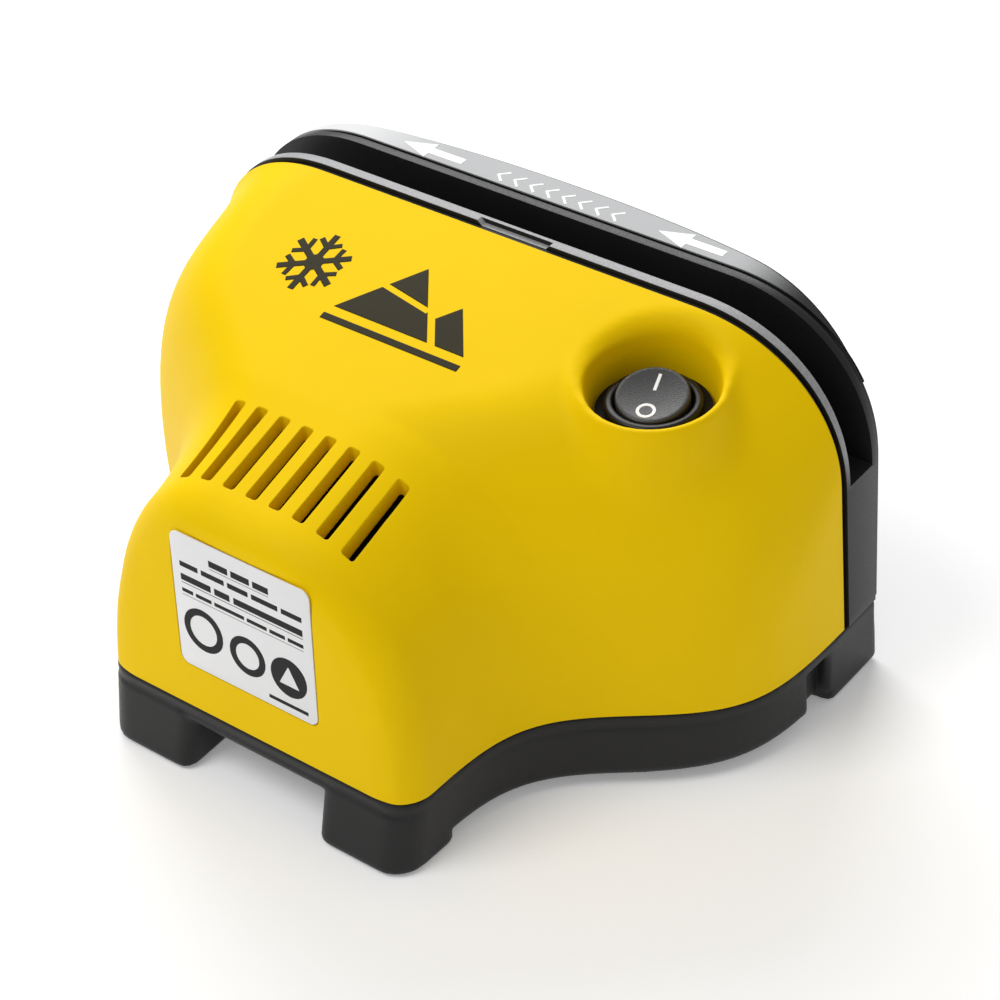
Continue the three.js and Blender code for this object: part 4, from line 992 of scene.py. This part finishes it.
def build_switch():
    seat_bottom = SEAT_Z - SEAT_DEPTH + FIT_GAP
    outer = SEAT_RADIUS + WELL_TAPER * (seat_bottom - SEAT_Z) - 2 * FIT_GAP
    hole = BEZEL_RADIUS - 1.1
    seat = new_object("switch_seat_disc", turned_mesh([
        (hole, seat_bottom), (outer, seat_bottom), (outer, SEAT_Z - FIT_GAP), (hole, SEAT_Z - FIT_GAP),
        (hole, seat_bottom)], 96, in_switch), SEAT_BLACK)
    shade(seat)
    settle("switch_seat")
    barrel, top = BEZEL_RADIUS - 1.5, SEAT_Z + 2.4
    bottom, pocket_floor = SEAT_Z - SWITCH_DEPTH, SEAT_Z - 6.5
    body = new_object("switch_bezel", turned_mesh([
        (barrel, bottom), (barrel, SEAT_Z), (BEZEL_RADIUS, SEAT_Z), (BEZEL_RADIUS, top - 0.7),
        (BEZEL_RADIUS - 0.2, top - 0.2), (BEZEL_RADIUS - 0.7, top), (POCKET_RADIUS + 0.5, top),
        (POCKET_RADIUS, top - 0.5), (POCKET_RADIUS, pocket_floor), (0.4, pocket_floor), (0.4, bottom),
        (barrel, bottom)], 96, in_switch), SWITCH_BLACK)
    shade(body, 50)
    settle("switch_body")


def rocker_dish(a, b):
    """Height of the rocker's slightly dished top above its pivot."""
    return 2.7 + 0.5 * (a * a + b * b) / 8.3 ** 2


def build_rocker():
    dish = [(radius, rocker_dish(radius, 0)) for radius in (8.2, 7.6, 6, 4.5, 3, 1.5, 0.02)]
    flank = [(0.02, -4.4), (7.2, -4.4), (7.6, -4.0), (8.7, -0.6), (8.8, 0.4), (8.8, 2.5)]
    rim = [(8.65, 2.95), (8.45, 3.12)]
    profile = flank + rim + dish
    rocker = new_object("rocker_cap", turned_mesh(profile, 96, on_rocker), ROCKER_BLACK,
                        body="rocker")
    shade(rocker, 50)
    settle("rocker_button")

    def marks(a, b):
        return union([bar(a, b, (-0.45, 1.5), (0.45, 6.6)), ring(a, b, (0, -5.0), 1.95, 0.85)])

    step = 0.12
    marks_mesh = print_mesh(marks, (-3, -8), (3, 7.5), step,
                            lambda a, b, depth: on_rocker(a, b, rocker_dish(a, b) + depth))
    new_object("rocker_marks", marks_mesh, WHITE_INK, body="rocker")


# ------------------------------------------------------------------ prints
def build_emblem():
    """A plain snow-and-peaks emblem, printed on the crown parallel to the slot."""
    flake = (-38.5, 15.5)

    def shape(x, y):
        parts = []
        for k in range(6):
            angle = math.pi / 6 + math.pi / 3 * k
            along = Vector((math.cos(angle), math.sin(angle)))
            tip = Vector(flake) + along * 9.6
            parts.append(stroke(x, y, flake, tip, 1.9))
            for turn in (-1, 1):
                root = Vector(flake) + along * 5.2
                side = Vector((math.cos(angle + turn * 1.0), math.sin(angle + turn * 1.0)))
                parts.append(stroke(x, y, root, root + side * 3.9, 1.5))
        parts.append(disc(x, y, flake, 2.6))
        big = convex(x, y, [(-24.5, 6.0), (4.5, 6.0), (-10.0, 25.5)])
        small = convex(x, y, [(-4.0, 6.0), (15.5, 6.0), (5.8, 18.5)])
        valley = np.abs(big - 0.9) - 0.9
        cap = stroke(x, y, (-19.5, 17.2), (-1.5, 14.2), 1.5)
        parts.append(np.maximum(big, -cap))
        parts.append(np.maximum(small, -valley))
        parts.append(bar(x, y, (-25.5, 1.6), (16.5, 3.6)))
        return union(parts)

    mesh = print_mesh(shape, (-52, -1), (20, 29), 0.16,
                      lambda a, b, depth: (a, b, crown_height(a, b) + depth))
    new_object("shell_emblem", mesh, DARK_INK)


def build_label_print():
    """Two feed arrows and a row of plain chevrons between them."""
    middle = 62.2

    def arrow(x, y, tip):
        head = convex(x, y, [(tip, middle), (tip + 9.2, middle - 3.3), (tip + 9.2, middle + 3.3)])
        tail = bar(x, y, (tip + 9.0, middle - 1.3), (tip + 19.6, middle + 1.3))
        return union([head, tail])

    def chevron(x, y, tip):
        upper = stroke(x, y, (tip, middle), (tip + 2.4, middle + 2.2), 0.8)
        lower = stroke(x, y, (tip, middle), (tip + 2.4, middle - 2.2), 0.8)
        return union([upper, lower, disc(x, y, (tip, middle), 0.4)])

    def shape(x, y):
        chevrons = [chevron(x, y, -16.5 + 5.0 * k) for k in range(8)]
        return union([arrow(x, y, -47.2), arrow(x, y, 31.8), *chevrons])

    def on_film(x, y, depth):
        stations = np.linspace(-HALF_WIDTH, HALF_WIDTH, 400)
        heights = [arch_height(station, 0.0) for station in stations]
        return x, y, np.interp(x, stations, heights) + depth

    mesh = print_mesh(shape, (-49, 58), (54, 67), 0.16, on_film)
    new_object("direction_print", mesh, WHITE_INK)


def on_plate(a, b, depth):
    """From the rating plate's own plan (a to the right, b up, depth outwards) into the frame."""
    lean = math.atan(SHELL_LEAN)
    face_y = SHELL_FRONT_Y + SHELL_LEAN * (PLATE_MIDDLE_Z - PARTING_Z)
    out_y = face_y - depth * math.cos(lean) + b * math.sin(lean)
    return MOTOR_X + a, out_y, PLATE_MIDDLE_Z + b * math.cos(lean) + depth * math.sin(lean)


def build_rating_plate():
    outline = rounded_rectangle(PLATE_WIDTH / 2, PLATE_HEIGHT / 2, 2.5, steps=10)
    plate = new_object("rating_film", prism_mesh(outline, on_plate, -0.3, 0.1), PAPER)
    soften(plate, 0.12, segments=2)
    settle("rating_plate")
    dashes = [  # rows from the top down: middle, height, and the start and end of each dash
        (14.4, 1.9, [(-9.5, -3.5), (-2.6, 3.2), (4.1, 9.0)]),
        (10.6, 1.5, [(-19, -13.2), (-12.2, -5), (-4, 2.4), (3.4, 11.5), (12.5, 18.8)]),
        (6.8, 1.9, [(-19, -9.5), (-8.4, -3.6), (-2.4, 18.8)]),
        (3.0, 1.1, [(-19, -15.4), (-14.6, -9.6), (-8.8, 0.6), (1.4, 7.6), (8.4, 13.2), (14, 18.8)]),
    ]

    def shape(a, b):
        parts = []
        for middle, height, spans in dashes:
            for start, end in spans:
                parts.append(bar(a, b, (start, middle - height / 2), (end, middle + height / 2)))
        parts.append(bar(a, b, (-9.5, 12.75), (9.0, 12.95)))
        parts.append(bar(a, b, (-19, 5.1), (18.8, 5.3)))
        parts.append(bar(a, b, (-19, 1.55), (18.8, 1.75)))
        parts.append(ring(a, b, (-13.2, -7.0), 5.2, 2.0))
        parts.append(ring(a, b, (0.6, -8.2), 4.6, 2.0))
        dot = disc(a, b, (13.4, -8.6), 5.6)
        parts.append(np.maximum(dot, -convex(a, b, [(10.4, -11.0), (16.4, -11.0), (13.4, -5.4)])))
        parts.append(bar(a, b, (6.6, -17.4), (18.8, -16.3)))
        return union(parts)

    mesh = print_mesh(shape, (-20, -18.5), (20, 16.5), 0.14,
                      lambda a, b, depth: on_plate(a, b, 0.1 + depth * 0.6))
    new_object("rating_print", mesh, BLACK_INK)


# ------------------------------------------------------------------ screws and socket
def build_screw(name, node, place, length):
    """A pan-head cross-slot screw: place maps its own (a, b, height above the seat) into the frame."""
    head, shank = 3.0, 1.4
    profile = [(0.02, -length), (shank, -length + 0.4), (shank, 0), (head, 0), (head, 1.2), (2.8, 1.6),
               (2.25, 2.0), (0.02, 2.0)]
    piece = new_object(name, turned_mesh(profile, 40, place), ZINC)
    slots = []
    for half_a, half_b in ((1.8, 0.4), (0.4, 1.8)):
        outline = [(-half_a, -half_b), (half_a, -half_b), (half_a, half_b), (-half_a, half_b)]
        slots.append(prism_mesh(outline, place, 1.1, 3.0))
    cut_with(piece, slots)
    soften(piece, 0.08, segments=2, angle=50)
    settle(node)


def build_screws():
    for number, (x, z) in enumerate(COVER_SCREWS, 1):
        seat = COVER_FRONT_Y + 2.6
        build_screw(f"cover_screw_body_{number}", f"cover_screw_{number}",
                    lambda a, b, h, x=x, z=z: (x + a, seat + h, z + b), 10)
    for number, (x, y) in enumerate(CASE_SCREWS, 1):
        build_screw(f"case_screw_body_{number}", f"case_screw_{number}",
                    lambda a, b, h, x=x, y=y: (x + a, y + b, SINK_TOP_Z - 0.2 - h), 18)


def build_socket():
    flange = SOCKET_FLANGE_RADIUS
    face = back_depth(abs(SOCKET_X) - flange) + FIT_GAP
    profile = [(0.02, 60), (SOCKET_RADIUS, 60), (SOCKET_RADIUS, face), (flange, face), (flange, face + 0.9),
               (flange - 0.5, face + 1.4), (3.3, face + 1.4), (2.9, face + 1.1), (2.9, 62), (1.0, 62),
               (1.0, face - 0.4), (0.8, face - 0.1), (0.02, face - 0.1)]
    turned = turned_mesh(profile, 64, lambda a, b, h: (SOCKET_X + a, h, SOCKET_Z + b))
    piece = new_object("socket_body", turned, SWITCH_BLACK)
    shade(piece, 40)
    settle("power_socket")


# ------------------------------------------------------------------ camera, light, floor
CAMERA_PLACE = Vector((364.5, -387.3, 475.9)) * MM
CAMERA_AZIMUTH = math.radians(41.01)
CAMERA_ELEVATION = math.radians(38.92)
CAMERA_ROLL = math.radians(-5.49)
CAMERA_LENS = 99.94


def look_axes(azimuth, elevation):
    """Right, up and back directions of a camera that looks at the object from an angle."""
    right = Vector((math.cos(azimuth), math.sin(azimuth), 0))
    back = Vector((math.sin(azimuth) * math.cos(elevation),
                   -math.cos(azimuth) * math.cos(elevation), math.sin(elevation)))
    return right, back.cross(right), back


def add_camera():
    right, up, back = look_axes(CAMERA_AZIMUTH, CAMERA_ELEVATION)
    turned_right = math.cos(CAMERA_ROLL) * right + math.sin(CAMERA_ROLL) * up
    turned_up = -math.sin(CAMERA_ROLL) * right + math.cos(CAMERA_ROLL) * up
    data = bpy.data.cameras.new("camera")
    data.sensor_width = 36
    data.lens = CAMERA_LENS
    data.clip_start = 0.01
    camera = bpy.data.objects.new("camera", data)
    camera.matrix_world = Matrix.Translation(CAMERA_PLACE) @ Matrix(
        (turned_right, turned_up, back)).transposed().to_4x4()
    bpy.context.scene.collection.objects.link(camera)
    bpy.context.scene.camera = camera


def add_area_light(name, azimuth, elevation, distance, size, power, target=(0, 0, 0.05)):
    """A soft box aimed at the object; azimuth 0 is in front of it, positive towards +X."""
    _, _, away = look_axes(math.radians(azimuth), math.radians(elevation))
    data = bpy.data.lights.new(name, "AREA")
    data.shape = "RECTANGLE"
    data.size, data.size_y = size
    data.energy = power
    light = bpy.data.objects.new(name, data)
    light.location = Vector(target) + away * distance
    light.rotation_euler = away.to_track_quat("Z", "Y").to_euler()
    bpy.context.scene.collection.objects.link(light)
    return light


def add_stage():
    """A pale seamless floor."""
    reach = 6.0
    mesh = bpy.data.meshes.new("floor")
    mesh.from_pydata([(-reach, -reach, 0), (reach, -reach, 0), (reach, reach, 0), (-reach, reach, 0)],
                     [], [(0, 1, 2, 3)])
    floor = bpy.data.objects.new("floor", mesh)
    bpy.context.scene.collection.objects.link(floor)
    material, _, principled = shader("floor")
    principled.inputs["Base Color"].default_value = (0.93, 0.93, 0.93, 1)
    principled.inputs["Roughness"].default_value = 0.9
    principled.inputs["Emission Color"].default_value = (1, 1, 1, 1)
    principled.inputs["Emission Strength"].default_value = 0.2
    mesh.materials.append(material)


def light_scene():
    world = bpy.data.worlds.new("studio")
    world.use_nodes = True
    world.node_tree.nodes["Background"].inputs["Color"].default_value = (1, 1, 1, 1)
    world.node_tree.nodes["Background"].inputs["Strength"].default_value = 0.42
    bpy.context.scene.world = world
    add_area_light("key", -35, 60, 1.2, (0.6, 0.6), 5.5)
    add_area_light("backdrop", -139, 39, 0.9, (0.8, 0.4), 6)
    bpy.context.scene.view_settings.view_transform = "Standard"


finish_cad_nodes()
build_base_tray()
build_front_shell()
build_guide_frame()
build_rear_cover()
build_direction_label()
build_seal()
build_switch()
build_rocker()
build_rating_plate()
build_emblem()
build_label_print()
build_screws()
build_socket()
add_stage()
light_scene()
add_camera()
